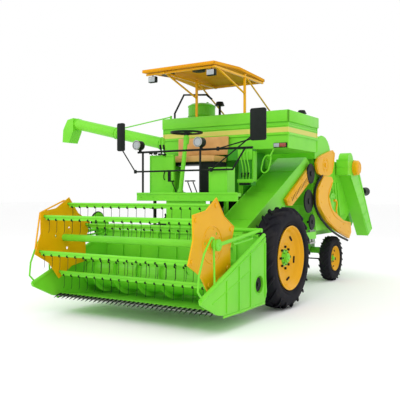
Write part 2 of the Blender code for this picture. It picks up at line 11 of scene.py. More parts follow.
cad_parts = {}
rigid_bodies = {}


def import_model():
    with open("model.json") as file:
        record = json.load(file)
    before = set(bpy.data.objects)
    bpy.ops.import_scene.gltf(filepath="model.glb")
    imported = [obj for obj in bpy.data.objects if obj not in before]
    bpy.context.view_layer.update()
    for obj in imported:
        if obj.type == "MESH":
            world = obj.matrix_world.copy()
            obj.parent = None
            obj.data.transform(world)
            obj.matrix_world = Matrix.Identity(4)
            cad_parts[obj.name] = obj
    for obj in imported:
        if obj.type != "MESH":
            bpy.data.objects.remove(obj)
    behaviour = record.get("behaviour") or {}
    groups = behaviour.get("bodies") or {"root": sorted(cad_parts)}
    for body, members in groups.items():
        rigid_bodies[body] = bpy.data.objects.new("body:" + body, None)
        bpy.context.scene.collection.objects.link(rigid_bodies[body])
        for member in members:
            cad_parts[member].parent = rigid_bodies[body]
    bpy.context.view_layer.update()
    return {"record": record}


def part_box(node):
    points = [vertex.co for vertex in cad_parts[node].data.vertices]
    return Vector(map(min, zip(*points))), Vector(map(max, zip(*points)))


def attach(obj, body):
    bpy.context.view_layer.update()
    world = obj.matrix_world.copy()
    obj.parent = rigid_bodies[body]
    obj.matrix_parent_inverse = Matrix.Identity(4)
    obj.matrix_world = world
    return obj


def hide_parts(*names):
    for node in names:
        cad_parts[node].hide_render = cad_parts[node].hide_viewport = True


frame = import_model()
TYRE_LUGS = {"front": (20, 0.036, 0.050), "rear": (22, 0.014, 0.030)}  # count, height, width
WHEEL_NUTS = {"front": (8, 0.19), "rear": (6, 0.06)}  # count, reach of the hub to the axle's end
TINES_A_BAT, KNIFE_GUARDS = 17, 36
REEL_START, REEL_HINGE = math.radians(80), (-0.885, 1.235)
FEED_SLOPE, FEED_FOOT = math.radians(26.8), (-0.92, 1.08)
FLIGHT_PITCH, FLIGHT_HEIGHT = 0.42, 0.07
HOOD_Y, HOOD_Z, HOOD_R = 2.39, 2.42, 0.43
TANK_SIDE, STRIPE_DOWN, STRIPE_UP = 0.61, 0.355, 0.275
X_AXIS, Y_AXIS, Z_AXIS = Vector((1, 0, 0)), Vector((0, 1, 0)), Vector((0, 0, 1))
LAMPS = (((3, -10, 10), 6, 400), ((-9, -5, 7), 7, 120), ((3, 8, 9), 6, 160))  # place, size, power
EYE, EYE_TURN, LENS, LENS_SHIFT = (4.71, -8.49, 1.733), math.radians(32), 54.0, -0.0125


def corners(name):
    """A node's lowest and highest corners as vectors."""
    low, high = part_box(name)
    return Vector(low), Vector(high)


def middle(name):
    low, high = corners(name)
    return (low + high) / 2


AXLE = (middle("front_left_tyre") + middle("front_right_tyre")) / 2


def at(x, y, z):
    """A point given from the middle of the front axle line, at ground level."""
    return Vector((x + AXLE.x, y + AXLE.y, z))


def vec(x, y, z):
    return Vector((x, y, z))


def beside(x, y, z):
    """A point at a world X, with y measured from the front axle line."""
    return Vector((x, y + AXLE.y, z))


def on_side(x, outline):
    """The points of a (y, z) outline on a side face at a world X."""
    return [beside(x, y, z) for y, z in outline]


# ---------------------------------------------------------------- materials


def sign(operation, swapped=False):
    """A method for one arithmetic sign, or for its reflected form."""

    def method(self, other):
        return self.maths(operation, *((other, self) if swapped else (self, other)))

    return method


class Value:
    """A number socket that takes part in Python arithmetic."""

    __add__, __radd__ = sign("ADD"), sign("ADD", True)
    __sub__, __rsub__ = sign("SUBTRACT"), sign("SUBTRACT", True)
    __mul__, __rmul__ = sign("MULTIPLY"), sign("MULTIPLY", True)
    __gt__, __lt__ = sign("GREATER_THAN"), sign("LESS_THAN")

    def __init__(self, paint, socket):
        self.paint = paint
        self.socket = socket

    def maths(self, operation, *others):
        wires = [o.socket if isinstance(o, Value) else o for o in others]
        node = self.paint.add("ShaderNodeMath", {"operation": operation}, dict(enumerate(wires)))
        return Value(self.paint, node.outputs[0])

    def clamp(self):
        held = self.maths("MAXIMUM", self, 0.0)
        return held.maths("MINIMUM", held, 1.0)


class Paint:
    """One Principled material built from nodes."""

    def __init__(self, name, rough=0.4, metal=0.0, coat=0.0, colour=None, shine=0.5):
        self.material = bpy.data.materials.new(name)
        self.material.use_nodes = True
        self.tree = self.material.node_tree
        self.bsdf = self.tree.nodes["Principled BSDF"]
        values = {"Roughness": rough, "Metallic": metal, "Coat Weight": coat, "Specular IOR Level": shine}
        if colour:
            values["Base Color"] = (*colour, 1)
        for key, number in values.items():
            self.bsdf.inputs[key].default_value = number
        self.coords = self.add("ShaderNodeTexCoord").outputs["Object"]

    def add(self, kind, settings=None, inputs=None):
        """A node with its settings, then the values or links of its sockets."""
        node = self.tree.nodes.new(kind)
        for key, setting in (settings or {}).items():
            setattr(node, key, setting)
        for key, wire in (inputs or {}).items():
            wire = wire.socket if isinstance(wire, Value) else wire
            if isinstance(wire, bpy.types.NodeSocket):
                self.tree.links.new(wire, node.inputs[key])
            else:
                node.inputs[key].default_value = wire
        return node

    def noise(self, scale, detail=4.0, stretch=None):
        vector = self.coords
        if stretch:
            vector = self.add("ShaderNodeMapping", None, {"Vector": vector, "Scale": stretch}).outputs[0]
        node = self.add("ShaderNodeTexNoise", None, {"Vector": vector, "Scale": scale, "Detail": detail})
        return Value(self, node.outputs[0])

    def axis(self, letter):
        node = self.add("ShaderNodeSeparateXYZ", None, {0: self.coords})
        return Value(self, node.outputs[letter])

    def mix(self, factor, first, second):
        node = self.add("ShaderNodeMix", {"data_type": "RGBA"}, {0: factor})
        for key, colour in ((6, first), (7, second)):
            if isinstance(colour, bpy.types.NodeSocket):
                self.tree.links.new(colour, node.inputs[key])
            else:
                node.inputs[key].default_value = (*colour, 1)
        return node.outputs[2]

    def set(self, name, wire):
        wire = wire.socket if isinstance(wire, Value) else wire
        self.tree.links.new(wire, self.bsdf.inputs[name])

    def finish(self, colour, rough=None, height=None, strength=0.0, distance=0.0):
        """Wire the colour, the roughness and the bump, and hand over the material."""
        self.set("Base Color", colour)
        if rough is not None:
            self.set("Roughness", rough)
        if height is not None:
            values = {"Height": height, "Strength": strength, "Distance": distance}
            bump = self.add("ShaderNodeBump", None, values)
            self.set("Normal", bump.outputs[0])
        return self.material


GREEN, GREEN_DEEP = (0.19, 0.68, 0.030), (0.12, 0.56, 0.018)
AMBER, AMBER_DEEP = (0.79, 0.41, 0.0), (0.69, 0.32, 0.0)
DUST = (0.42, 0.36, 0.22)
YELLOW = (0.64, 0.60, 0.12)


def sprayed(name, light, deep, rough=0.30, low_dust=0.5, stripe=None, shine=0.22):
    """Enamel with a slight orange peel, uneven tone and dust towards the ground."""
    paint = Paint(name, rough, 0.0, shine * 0.34, shine=shine)
    broad = paint.noise(1.7, 3.0)
    fine = paint.noise(14.0, 6.0)
    colour = paint.mix((broad * 1.4 - 0.45).clamp(), light, deep)
    height = paint.axis("Z")
    dusty = ((low_dust - height) * 0.9 + fine * 0.7 - 0.45).clamp() * 0.35
    colour = paint.mix(dusty, colour, DUST)
    grime = (paint.noise(5.0, 8.0, (1.0, 1.0, 0.25)) * 4.0 - 2.55).clamp() * 0.18
    colour = paint.mix(grime, colour, tuple(c * 0.45 for c in deep))
    if stripe:
        low, high = stripe
        band = (height > low) * (height < high)
        colour = paint.mix(band, colour, YELLOW)
    peel = paint.noise(260.0, 2.0) * 0.4 + fine * 0.6
    return paint.finish(colour, rough + fine * 0.16 + dusty * 0.9, peel, 0.10, 0.002)


def rubber():
    paint = Paint("tyre rubber", 0.75, shine=0.10)
    fine = paint.noise(38.0, 8.0)
    dusty = (paint.noise(4.0, 6.0) * 3.0 - 1.45).clamp() * 0.16
    colour = paint.mix(fine.clamp(), (0.007, 0.007, 0.010), (0.018, 0.018, 0.024))
    return paint.finish(paint.mix(dusty, colour, (0.12, 0.10, 0.075)), 0.62 + fine * 0.25, fine, 0.35, 0.003)


def bare_steel():
    paint = Paint("worn steel", 0.35, 0.9)
    streak = paint.noise(60.0, 4.0, (0.1, 1.0, 1.0))
    rust = (paint.noise(9.0, 8.0) * 5.0 - 3.1).clamp() * 0.6
    colour = paint.mix(streak.clamp(), (0.30, 0.30, 0.29), (0.50, 0.50, 0.48))
    paint.set("Metallic", 0.92 - rust * 0.7)
    rough = 0.28 + streak * 0.2 + rust * 0.4
    return paint.finish(paint.mix(rust, colour, (0.20, 0.07, 0.02)), rough, streak, 0.2, 0.001)


def black_paint():
    paint = Paint("black enamel", 0.38, shine=0.12)
    fine = paint.noise(20.0, 6.0)
    colour = paint.mix(fine.clamp(), (0.007, 0.010, 0.008), (0.014, 0.018, 0.016))
    return paint.finish(colour, 0.38 + fine * 0.2, fine, 0.12, 0.002)


def vinyl():
    """Seat cover with a pebbled grain and paler, worn high spots."""
    paint = Paint("tan vinyl", 0.5)
    cells = paint.add("ShaderNodeTexVoronoi", None, {"Vector": paint.coords, "Scale": 170.0})
    grain = Value(paint, cells.outputs[0])
    broad = paint.noise(6.0, 5.0)
    colour = paint.mix((broad * 1.5 - 0.3).clamp(), (0.72, 0.40, 0.13), (0.52, 0.26, 0.07))
    return paint.finish(colour, 0.42 + broad * 0.25, grain, 0.30, 0.0012)


def lens(name, colour):
    """Fluted lamp glass."""
    paint = Paint(name, 0.08, 0.0, 0.8)
    flutes = paint.add("ShaderNodeTexWave", {"bands_direction": "X"}, {"Vector": paint.coords, "Scale": 40.0})
    ridge = Value(paint, flutes.outputs[1])
    return paint.finish(paint.mix(ridge, colour, tuple(c * 0.7 for c in colour)), None, ridge, 0.4, 0.002)


def silvered():
    paint = Paint("mirror glass", 0.04, 1.0)
    haze = paint.noise(7.0, 5.0)
    colour = paint.mix(haze.clamp(), (0.70, 0.74, 0.76), (0.45, 0.50, 0.53))
    return paint.finish(colour, 0.03 + haze * 0.08)


tank_low, tank_high = corners("grain_tank")
tank_low.z = tank_high.z - TANK_SIDE
STRIPE = (tank_high.z - STRIPE_DOWN, tank_high.z - STRIPE_UP)
MATS = {
    "green": sprayed("lime enamel", GREEN, GREEN_DEEP),
    "dark_green": sprayed("deep green enamel", (0.045, 0.34, 0.012), (0.02, 0.18, 0.006)),
    "amber": sprayed("amber enamel", AMBER, AMBER_DEEP),
    "black": black_paint(),
    "tyre": rubber(),
    "steel": bare_steel(),
    "tan": vinyl(),
}
TANK_PAINT = sprayed("tank enamel with stripe", GREEN, GREEN_DEEP, stripe=STRIPE)
ROOF_PAINT = sprayed("canopy enamel", (0.74, 0.34, 0.014), (0.58, 0.23, 0.008), 0.70, shine=0.03)
CLEAR = lens("clear lamp glass", (0.42, 0.46, 0.48))
RED = lens("signal lamp glass", (0.36, 0.04, 0.008))
MIRROR = silvered()

for row in frame["record"]["subparts"]:
    node = bpy.data.objects[row["node"]]
    node.data.materials.clear()
    node.data.materials.append(MATS[row["material_slot"]])
for name, paint in (("grain_tank", TANK_PAINT), ("canopy_roof", ROOF_PAINT)):
    bpy.data.objects[name].data.materials[0] = paint

# ---------------------------------------------------------------- modelling helpers


def alone():
    bpy.ops.object.select_all(action="DESELECT")


def settled():
    """Apply the new object's placing and hand it over."""
    made = bpy.context.object
    bpy.ops.object.transform_apply(location=True, rotation=True, scale=True)
    return made


def modified(obj, kind, **settings):
    """Apply a modifier with its settings."""
    bpy.context.view_layer.objects.active = obj
    modifier = obj.modifiers.new(kind, kind)
    for key, setting in settings.items():
        setattr(modifier, key, setting)
    bpy.ops.object.modifier_apply(modifier=modifier.name)
    return obj


def bevelled(obj, width):
    return modified(obj, "BEVEL", width=width, segments=2, limit_method="ANGLE") if width else obj


@contextlib.contextmanager
def editing():
    """Edit mode with the whole mesh selected."""
    bpy.ops.object.mode_set(mode="EDIT")
    bpy.ops.mesh.select_all(action="SELECT")
    yield
    bpy.ops.object.mode_set(mode="OBJECT")


def block(low, high, edge=0.0):
    """A box between two corners with softened edges."""
    alone()
    low, high = Vector(low), Vector(high)
    bpy.ops.mesh.primitive_cube_add(size=1, location=(low + high) / 2, scale=high - low)
    return bevelled(settled(), edge)


def bar(start, end, radius, sides=10, end_radius=None):
    """A round bar or cone between two points."""
    alone()
    start, end = Vector(start), Vector(end)
    turn = (end - start).to_track_quat("Z", "Y").to_euler()
    bpy.ops.mesh.primitive_cone_add(
        vertices=sides,
        radius1=radius,
        radius2=radius if end_radius is None else end_radius,
        depth=(end - start).length,
        location=(start + end) / 2,
        rotation=turn,
    )
    return settled()


def drum(centre, start, end, radius, sides=32, end_radius=None):
    """A round bar or cone along X, between two distances from centre."""
    return bar(centre + X_AXIS * start, centre + X_AXIS * end, radius, sides, end_radius)


def hoop(centre, axis, radius, thick, sides=32, minor=8):
    """A torus about an axis."""
    alone()
    turn = Vector(axis).to_track_quat("Z", "Y").to_euler()
    bpy.ops.mesh.primitive_torus_add(
        major_radius=radius,
        minor_radius=thick,
        major_segments=sides,
        minor_segments=minor,
        location=centre,
        rotation=turn,
    )
    return settled()


def tube(points, radius, sides=3):
    """A smooth bent pipe through points."""
    alone()
    bpy.ops.curve.primitive_bezier_curve_add()
    curve = bpy.context.object
    curve.location = (0, 0, 0)
    spline = curve.data.splines[0]
    spline.bezier_points.add(len(points) - 2)
    for knot, place in zip(spline.bezier_points, points):
        knot.co = place
        knot.handle_left_type = knot.handle_right_type = "AUTO"
    curve.data.bevel_depth = radius
    curve.data.bevel_resolution = sides
    curve.data.resolution_u = 6
    curve.data.use_fill_caps = True
    bpy.ops.object.convert(target="MESH")
    made = settled()
    tidy_mesh(made)
    return made


def tidy_mesh(obj):
    alone()
    obj.select_set(True)
    bpy.context.view_layer.objects.active = obj
    with editing():
        bpy.ops.mesh.remove_doubles(threshold=0.00005)
        bpy.ops.mesh.normals_make_consistent(inside=False)


def copied(obj, matrix):
    """A copy with its own mesh, moved by a matrix."""
    twin = obj.copy()
    twin.data = obj.data.copy()
    twin.data.transform(matrix)
    bpy.context.scene.collection.objects.link(twin)
    return twin


def turned_about(centre, angle, axis="X"):
    return Matrix.Translation(centre) @ Matrix.Rotation(angle, 4, axis) @ Matrix.Translation(-centre)


def merged(shapes):
    """Join shapes into one object and hand it over."""
    alone()
    for shape in shapes:
        shape.select_set(True)
    bpy.context.view_layer.objects.active = shapes[0]
    if len(shapes) > 1:
        bpy.ops.object.join()
    return bpy.context.view_layer.objects.active


def repeated(shapes, start, places):
    """Copies of joined shapes that were made at start, one for each place."""
    master = merged(shapes)
    copies = [copied(master, Matrix.Translation(p - start)) for p in places]
    bpy.data.objects.remove(master)
    return copies


def piece(name, shapes, slot, body="chassis", paint=None, hides=()):
    """Join shapes into one finished piece that rides on a body."""
    made = merged(shapes)
    made.name = name
    made.data.name = name
    made.data.materials.clear()
    made.data.materials.append(paint or MATS[slot])
    bpy.ops.object.shade_smooth_by_angle(angle=math.radians(38))
    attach(made, body)
    if hides:
        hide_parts(*hides)
    return made


def bolts(places, normal, radius=0.009, height=0.007):
    """Hexagon heads at places, facing along normal."""
    normal = Vector(normal).normalized()
    return [bar(p - normal * 0.002, p + normal * height, radius, 6) for p in map(Vector, places)]


def slab(outline, low, high, edge=0.0):
    """A plate between two X values whose outline is (y, z) points measured from the front axle."""
    alone()
    bpy.ops.mesh.primitive_circle_add(vertices=len(outline), fill_type="NGON")
    made = bpy.context.object
    for vertex, (y, z) in zip(made.data.vertices, outline):
        vertex.co = (low, AXLE.y + y, z)
    with editing():
        bpy.ops.mesh.extrude_region_move(TRANSFORM_OT_translate={"value": (high - low, 0, 0)})
        bpy.ops.mesh.select_all(action="SELECT")
        bpy.ops.mesh.normals_make_consistent(inside=False)
    return bevelled(settled(), edge)


def around(centre, radius, count, start=0.0):
    """Points on a circle about the X direction through centre."""
    angles = [start + math.tau * k / count for k in range(count)]
    return [Vector(centre) + vec(0, radius * math.cos(a), radius * math.sin(a)) for a in angles]


def row(start, end, count):
    """Evenly spaced points, both ends included."""
    start, end = Vector(start), Vector(end)
    return [start.lerp(end, i / (count - 1)) for i in range(count)]


def swept(profile, place, steps=72, turn=math.tau, rise=0.0, wall=0.0):
    """Sweep (x, radius) points about the X direction: a closed section, or a line that gets a wall."""
    alone()
    bpy.ops.mesh.primitive_plane_add(size=1)
    made = bpy.context.object
    bm = bmesh.new()
    verts = [bm.verts.new((x, r, 0)) for x, r in profile]
    for first, second in zip(verts, verts[1:] if wall else verts[1:] + verts[:1]):
        bm.edges.new((first, second))
    bm.to_mesh(made.data)
    bm.free()
    weld = {"use_merge_vertices": not wall, "merge_threshold": 0.0001}
    modified(made, "SCREW", axis="X", angle=turn, screw_offset=rise, steps=steps, render_steps=steps, **weld)
    if wall:
        modified(made, "SOLIDIFY", thickness=wall, offset=0)
    made.location = place
    settled()
    tidy_mesh(made)
    return made


# ---------------------------------------------------------------- wheels


def tyre(label, body, lugs, lug_height, lug_width):
    """Carcass with shoulder rings and chevron lugs, inside the outer size of the wheel."""
    low, high = corners(f"{label}_tyre")
    centre = (low + high) / 2
    outer, half = (high.z - low.z) / 2, (high.x - low.x) / 2
    inner = (corners(f"{label}_rim")[1].z - corners(f"{label}_rim")[0].z) / 2 + 0.004
    crown = outer - lug_height
    depth = crown - inner
    section = [
        (-half * 0.74, inner),
        (-half * 0.86, inner + 0.10 * depth),
        (-half * 0.97, inner + 0.36 * depth),
        (-half * 0.985, inner + 0.56 * depth),
        (-half * 0.93, inner + 0.76 * depth),
        (-half * 0.82, inner + 0.90 * depth),
        (-half * 0.55, inner + 0.975 * depth),
        (0.0, crown),
    ]
    section += [(-x, r) for x, r in reversed(section[:-1])]
    shapes = [swept(section, centre)]
    for x in (-half * 0.93, half * 0.93):
        for share in (0.20, 0.30):
            shapes.append(hoop(centre + vec(x, 0, 0), X_AXIS, inner + share * depth, 0.004, 64, 6))
    lug = chevron_lug(centre, half, crown, lug_height, lug_width)
    half_turn = turned_about(Vector(), math.pi, "Z") @ Matrix.Scale(-1, 4, Y_AXIS)
    mirror = Matrix.Translation(centre) @ half_turn @ Matrix.Translation(-centre)
    for i in range(lugs):
        shapes.append(copied(lug, turned_about(centre, math.tau * i / lugs)))
        twin = copied(lug, turned_about(centre, math.tau * (i + 0.5) / lugs) @ mirror)
        tidy_mesh(twin)
        shapes.append(twin)
    bpy.data.objects.remove(lug)
    return piece(f"{label}_tread", shapes, "tyre", body, hides=(f"{label}_tyre",))


def chevron_lug(centre, half, crown, height, width):
    """One slanting lug from the tyre's middle out over its shoulder."""
    alone()
    bpy.ops.mesh.primitive_cube_add(size=1, location=centre)
    lug = settled()
    bm = bmesh.new()
    bm.from_mesh(lug.data)
    across = [e for e in bm.edges if abs((e.verts[0].co - e.verts[1].co).x) > 0.5]
    bmesh.ops.subdivide_edges(bm, edges=across, cuts=3)
    sweep = 0.30
    for v in bm.verts:
        local = v.co - centre
        along = 0.5 + local.x
        fall = 8.1 * height * max(0.0, along - 0.6) ** 2
        angle = sweep * along + local.y * width / crown * (1.0 if local.z < 0 else 0.72)
        radius = crown - 0.012 - fall + (0.010 + height if local.z > 0 else 0.0)
        v.co = centre + vec(half * (along - 0.02), radius * math.sin(angle), radius * math.cos(angle))
    bm.to_mesh(lug.data)
    bm.free()
    return lug


def rim(label, body, side):
    """Rim with rolled lips, dropped well and dished disc, and black blocks of painted shade where its hand
    holes are.
    """
    tyre_low, tyre_high = corners(f"{label}_tyre")
    centre = (tyre_low + tyre_high) / 2
    low, high = corners(f"{label}_rim")
    radius, half = (high.z - low.z) / 2, (tyre_high.x - tyre_low.x) / 2
    section = [
        (0.82, 0.996), (0.88, 1.0), (0.91, 0.985), (0.90, 0.965), (0.84, 0.950), (0.70, 0.935),
        (0.60, 0.900), (0.52, 0.860), (0.36, 0.840), (0.27, 0.790), (0.20, 0.700), (0.14, 0.580),
        (0.13, 0.480), (0.17, 0.420), (0.24, 0.370), (0.26, 0.300), (0.26, 0.0), (0.18, 0.0),
        (0.18, 0.300), (0.08, 0.440), (0.06, 0.600), (0.12, 0.760), (0.10, 0.860), (-0.30, 0.880),
        (-0.70, 0.935), (-0.84, 0.950), (-0.90, 0.965), (-0.91, 0.985), (-0.88, 1.0), (-0.82, 0.996),
        (-0.62, 0.960), (-0.30, 0.915), (0.30, 0.915), (0.62, 0.960),
    ]
    disc = swept([(side * half * x, radius * r) for x, r in section], centre)
    piece(f"{label}_disc", [disc], "amber", body, hides=(f"{label}_rim",))
    # Black rubber blocks on the disc face are painted shade: they stand for the dark inside the hand holes.
    opening_shades = []
    face = centre + vec(side * half * 0.245, 0, 0)
    for k in range(6):
        reach = radius * 0.735
        slot = block(
            face + vec(-0.012, -radius * 0.115, reach - radius * 0.035),
            face + vec(0.012, radius * 0.115, reach + radius * 0.035),
            radius * 0.033,
        )
        slot.data.transform(turned_about(centre, math.tau * k / 6 + 0.35))
        opening_shades.append(slot)
    piece(f"{label}_hand_hole_shades", opening_shades, "tyre", body)
    return centre, half, radius


def hub(label, body, side, count, reach):
    """Green hub with its ring of nuts and cap, reaching in to the axle's end."""
    centre, half, radius = rim(label, body, side)
    out = vec(side, 0, 0)
    base = centre + out * half * 0.25
    shapes = [
        bar(centre - out * reach, base, radius * 0.16, 24),
        bar(base - out * 0.01, base + out * half * 0.10, radius * 0.27, 32, radius * 0.25),
        bar(base + out * half * 0.08, base + out * half * 0.34, radius * 0.17, 28, radius * 0.14),
        bar(base + out * half * 0.32, base + out * half * 0.44, radius * 0.09, 20, radius * 0.07),
    ]
    piece(f"{label}_hub", shapes, "green", body)
    nuts = bolts(around(base + out * half * 0.02, radius * 0.335, count), out, radius * 0.040, half * 0.13)
    nuts += bolts(around(base + out * half * 0.10, radius * 0.215, count), out, radius * 0.022, half * 0.06)
    piece(f"{label}_nuts", nuts, "black", body)


def wheels():
    for side, word in ((1, "left"), (-1, "right")):
        for end in ("front", "rear"):
            label, body = f"{end}_{word}", f"{end}_{word}_wheel"
            tyre(label, body, *TYRE_LUGS[end])
            hub(label, body, side, *WHEEL_NUTS[end])


# ---------------------------------------------------------------- header and reel


def tines():
    """Spring tines with their coils, hung from each bat."""
    for i in range(1, 7):
        low, high = corners(f"reel_bat_{i}")
        top = Vector(((low.x + high.x) / 2, (low.y + high.y) / 2, high.z - 0.018))
        knee = top + vec(0, 0.008, -0.205)
        shapes = [hoop(top + vec(dx, 0.0, -0.045), X_AXIS, 0.014, 0.0045, 10, 5) for dx in (-0.007, 0, 0.007)]
        shapes.append(bar(top + vec(0, 0.014, -0.045), knee, 0.0032, 6))
        shapes.append(bar(knee, top + vec(0, -0.006, -0.235), 0.0032, 6, 0.002))
        places = row((low.x + 0.10, top.y, top.z), (high.x - 0.10, top.y, top.z), TINES_A_BAT)
        piece(f"bat_{i}_tines", repeated(shapes, top, places), "black", f"bat_{i}")


def flights():
    """Two opposite helical flights that bring the crop to the feeder, with fingers between."""
    low, high = corners("header_auger")
    centre, core = (low + high) / 2, (high.z - low.z) / 2
    rim = core + FLIGHT_HEIGHT
    feed_low, feed_high = corners("feeder_house")
    shapes = []
    for start, end in ((low.x + 0.02, feed_low.x - 0.03), (high.x - 0.02, feed_high.x + 0.03)):
        turns = abs(end - start) / FLIGHT_PITCH
        profile = [(0, core - 0.01), (0, rim)]
        steps = max(8, int(26 * turns))
        shapes.append(swept(profile, (start, centre.y, centre.z), steps, math.tau * turns, end - start, 0.005))
    for i in range(9):
        angle = math.tau * i * 0.38
        x = feed_low.x + 0.04 + (feed_high.x - feed_low.x - 0.08) * i / 8
        root, out = vec(x, centre.y, centre.z), vec(0, math.cos(angle), math.sin(angle))
        shapes.append(bar(root + out * (core - 0.02), root + out * (rim - 0.005), 0.009, 8))
    piece("auger_flights", shapes, "green", "auger")


def knife_guards():
    """Forged pointed guards and knife sections along the cutter bar."""
    low, high = corners("cutterbar")
    start, end = (vec(x, low.y + 0.06, high.z) for x in (low.x + 0.05, high.x - 0.05))
    neck = start + vec(0, -0.05, -0.010)
    guard = [bar(start + vec(0, 0.03, 0.004), neck, 0.015, 6, 0.012)]
    guard.append(bar(neck, start + vec(0, -0.12, -0.035), 0.012, 6, 0.003))
    copies = repeated(guard, start, row(start, end, KNIFE_GUARDS))
    rivets = vec(0, 0.06, 0)
    copies += bolts(row(start + rivets, end + rivets, KNIFE_GUARDS), Z_AXIS, 0.007, 0.006)
    piece("knife_guards", copies, "black", "header")
    lips = [block((low.x, high.y - 0.006, low.z - 0.012), (high.x, high.y + 0.016, high.z + 0.012), 0.003)]
    behind = vec(0, 0.11, -0.004)
    for place in row(start + behind, end + behind, 24):
        lips.append(bar(place, place + vec(0, 0.09, -0.018), 0.009, 6, 0.006))
    piece("knife_lip", lips, "green", "header")


def reel_straps():
    """Folded edges, bosses and the feathering ring of straps outside the reel's end plates."""
    centre = middle("reel_shaft")
    for word, side in (("left", 1), ("right", -1)):
        low, high = corners(f"reel_plate_{word}")
        out = X_AXIS * side
        hub_face = vec(high.x if side > 0 else low.x, centre.y, centre.z)
        tips = around(hub_face, 0.588, 6, REEL_START)
        waists = around(hub_face, 0.452, 6, REEL_START + math.tau / 12)
        shapes = []
        for k in range(6):
            shapes += [bar(tips[k], waists[k], 0.007, 8), bar(waists[k], tips[(k + 1) % 6], 0.007, 8)]
        bosses = around(hub_face, 0.5, 6, REEL_START)
        shapes += [drum(boss, 0, side * 0.014, 0.032, 16, 0.028) for boss in bosses]
        shapes.append(hoop(hub_face, X_AXIS, 0.235, 0.008, 36, 8))
        shapes.append(drum(hub_face, 0, side * 0.010, 0.115, 28, 0.105))
        shapes += bolts(around(hub_face + out * 0.010, 0.085, 6), out)
        shapes += bolts(around(hub_face, 0.20, 6, 0.4), out, 0.012)
        piece(f"reel_straps_{word}", shapes, "amber", "reel")


def feather_ring():
    """Ring of straps that keeps the bats upright, outside the right end plate."""
    centre = middle("reel_shaft")
    plane = corners("reel_plate_right")[0].x - 0.024
    offset = vec(plane, centre.y - 0.055, centre.z + 0.05)
    tips = around(offset, 0.5, 6, REEL_START)
    pins = around((plane, centre.y, centre.z), 0.5, 6, REEL_START)
    shapes = [hoop(offset, X_AXIS, 0.11, 0.012, 24, 8)]
    for k in range(6):
        shapes += [
            bar(tips[k], tips[(k + 1) % 6], 0.012, 8),
            bar(tips[k], offset + (tips[k] - offset) * 0.2, 0.012, 8),
            bar(pins[k], tips[k], 0.014, 8),
            drum(pins[k], 0.012, -0.008, 0.020, 12),
        ]
    piece("reel_feather_ring", shapes, "amber", "reel")


def reel_drive():
    """Pulley and band at the right end that turn the reel."""
    pulley = at(-1.90, -1.08, 1.30)
    face = pulley + X_AXIS * 0.035
    wheel = [drum(pulley, 0, 0.035, 0.150, 40), drum(pulley, 0.035, 0.055, 0.045, 20)]
    wheel += bolts(around(face, 0.09, 6), X_AXIS, 0.010, 0.008)
    wheel.append(bar(pulley + X_AXIS * 0.01, (pulley.x + 0.01, pulley.y - 0.02, 1.02), 0.022, 12))
    piece("reel_drive_pulley", wheel, "green", "header")
    piece("reel_drive_band", [hoop(pulley + X_AXIS * 0.018, X_AXIS, 0.156, 0.013, 44, 10)], "black", "header")


def reel_arm_trim():
    """Second lift tube, bearing caps and clamps beside each reel arm."""
    low, high = corners("reel_arms")
    centre = middle("reel_shaft")
    below = vec(0, 0.01, -0.075)
    for word, x, side in (("left", high.x - 0.03, 1), ("right", low.x + 0.03, -1)):
        root, end, out = beside(x, *REEL_HINGE), vec(x, centre.y, centre.z), X_AXIS * side
        along = (end - root).normalized()
        shapes = [bar(root + along * 0.25 + below, root + along * 0.80 + below * 0.8, 0.016, 10)]
        for reach in (0.26, 0.79):
            shapes.append(bar(root + along * reach, root + along * reach + below * 0.9, 0.010, 8))
        shapes.append(drum(end, side * 0.018, -side * 0.018, 0.075, 24))
        shapes += bolts(around(end + out * 0.018, 0.052, 4, 0.5), out, 0.009, 0.006)
        piece(f"reel_arm_trim_{word}", shapes, "green", "reel_frame")


def header_trim():
    """Ribs and rails on the header's back wall, and the cover over the reel's drive."""
    low, high = corners("header_table")
    ribs = []
    for k in range(1, 8):
        x = low.x + (high.x - low.x) * k / 8
        ribs.append(block((x - 0.012, high.y - 0.068, 0.60), (x + 0.012, high.y - 0.054, high.z - 0.01), 0.003))
    ribs.append(block((low.x, high.y - 0.060, high.z - 0.030), (high.x, high.y + 0.012, high.z + 0.001), 0.005))
    for z in (0.45, 0.78):
        ribs.append(block((low.x + 0.05, high.y, z - 0.03), (high.x - 0.05, high.y + 0.03, z + 0.03), 0.004))
    piece("header_wall_ribs", ribs, "green", "header")
    divider_trim("left", 1)
    divider_trim("right", -1)
    face = corners("divider_right")[0].x
    disc = beside(face - 0.012, -1.02, 1.20)
    foot = [(-1.19, 1.20), (-1.10, 0.98), (-0.94, 0.98), (-0.85, 1.20)]
    cover = [drum(disc, -0.030, 0.012, 0.165, 32)]
    cover.append(slab(foot, face - 0.030, face - 0.001, 0.003))
    piece("reel_drive_cover", cover, "green", "header")
    belt = [hoop(disc - X_AXIS * 0.010, X_AXIS, 0.168, 0.014, 40, 8)]
    belt.append(drum(disc, -0.034, -0.030, 0.05, 20))
    piece("reel_drive_belt", belt, "black", "header")


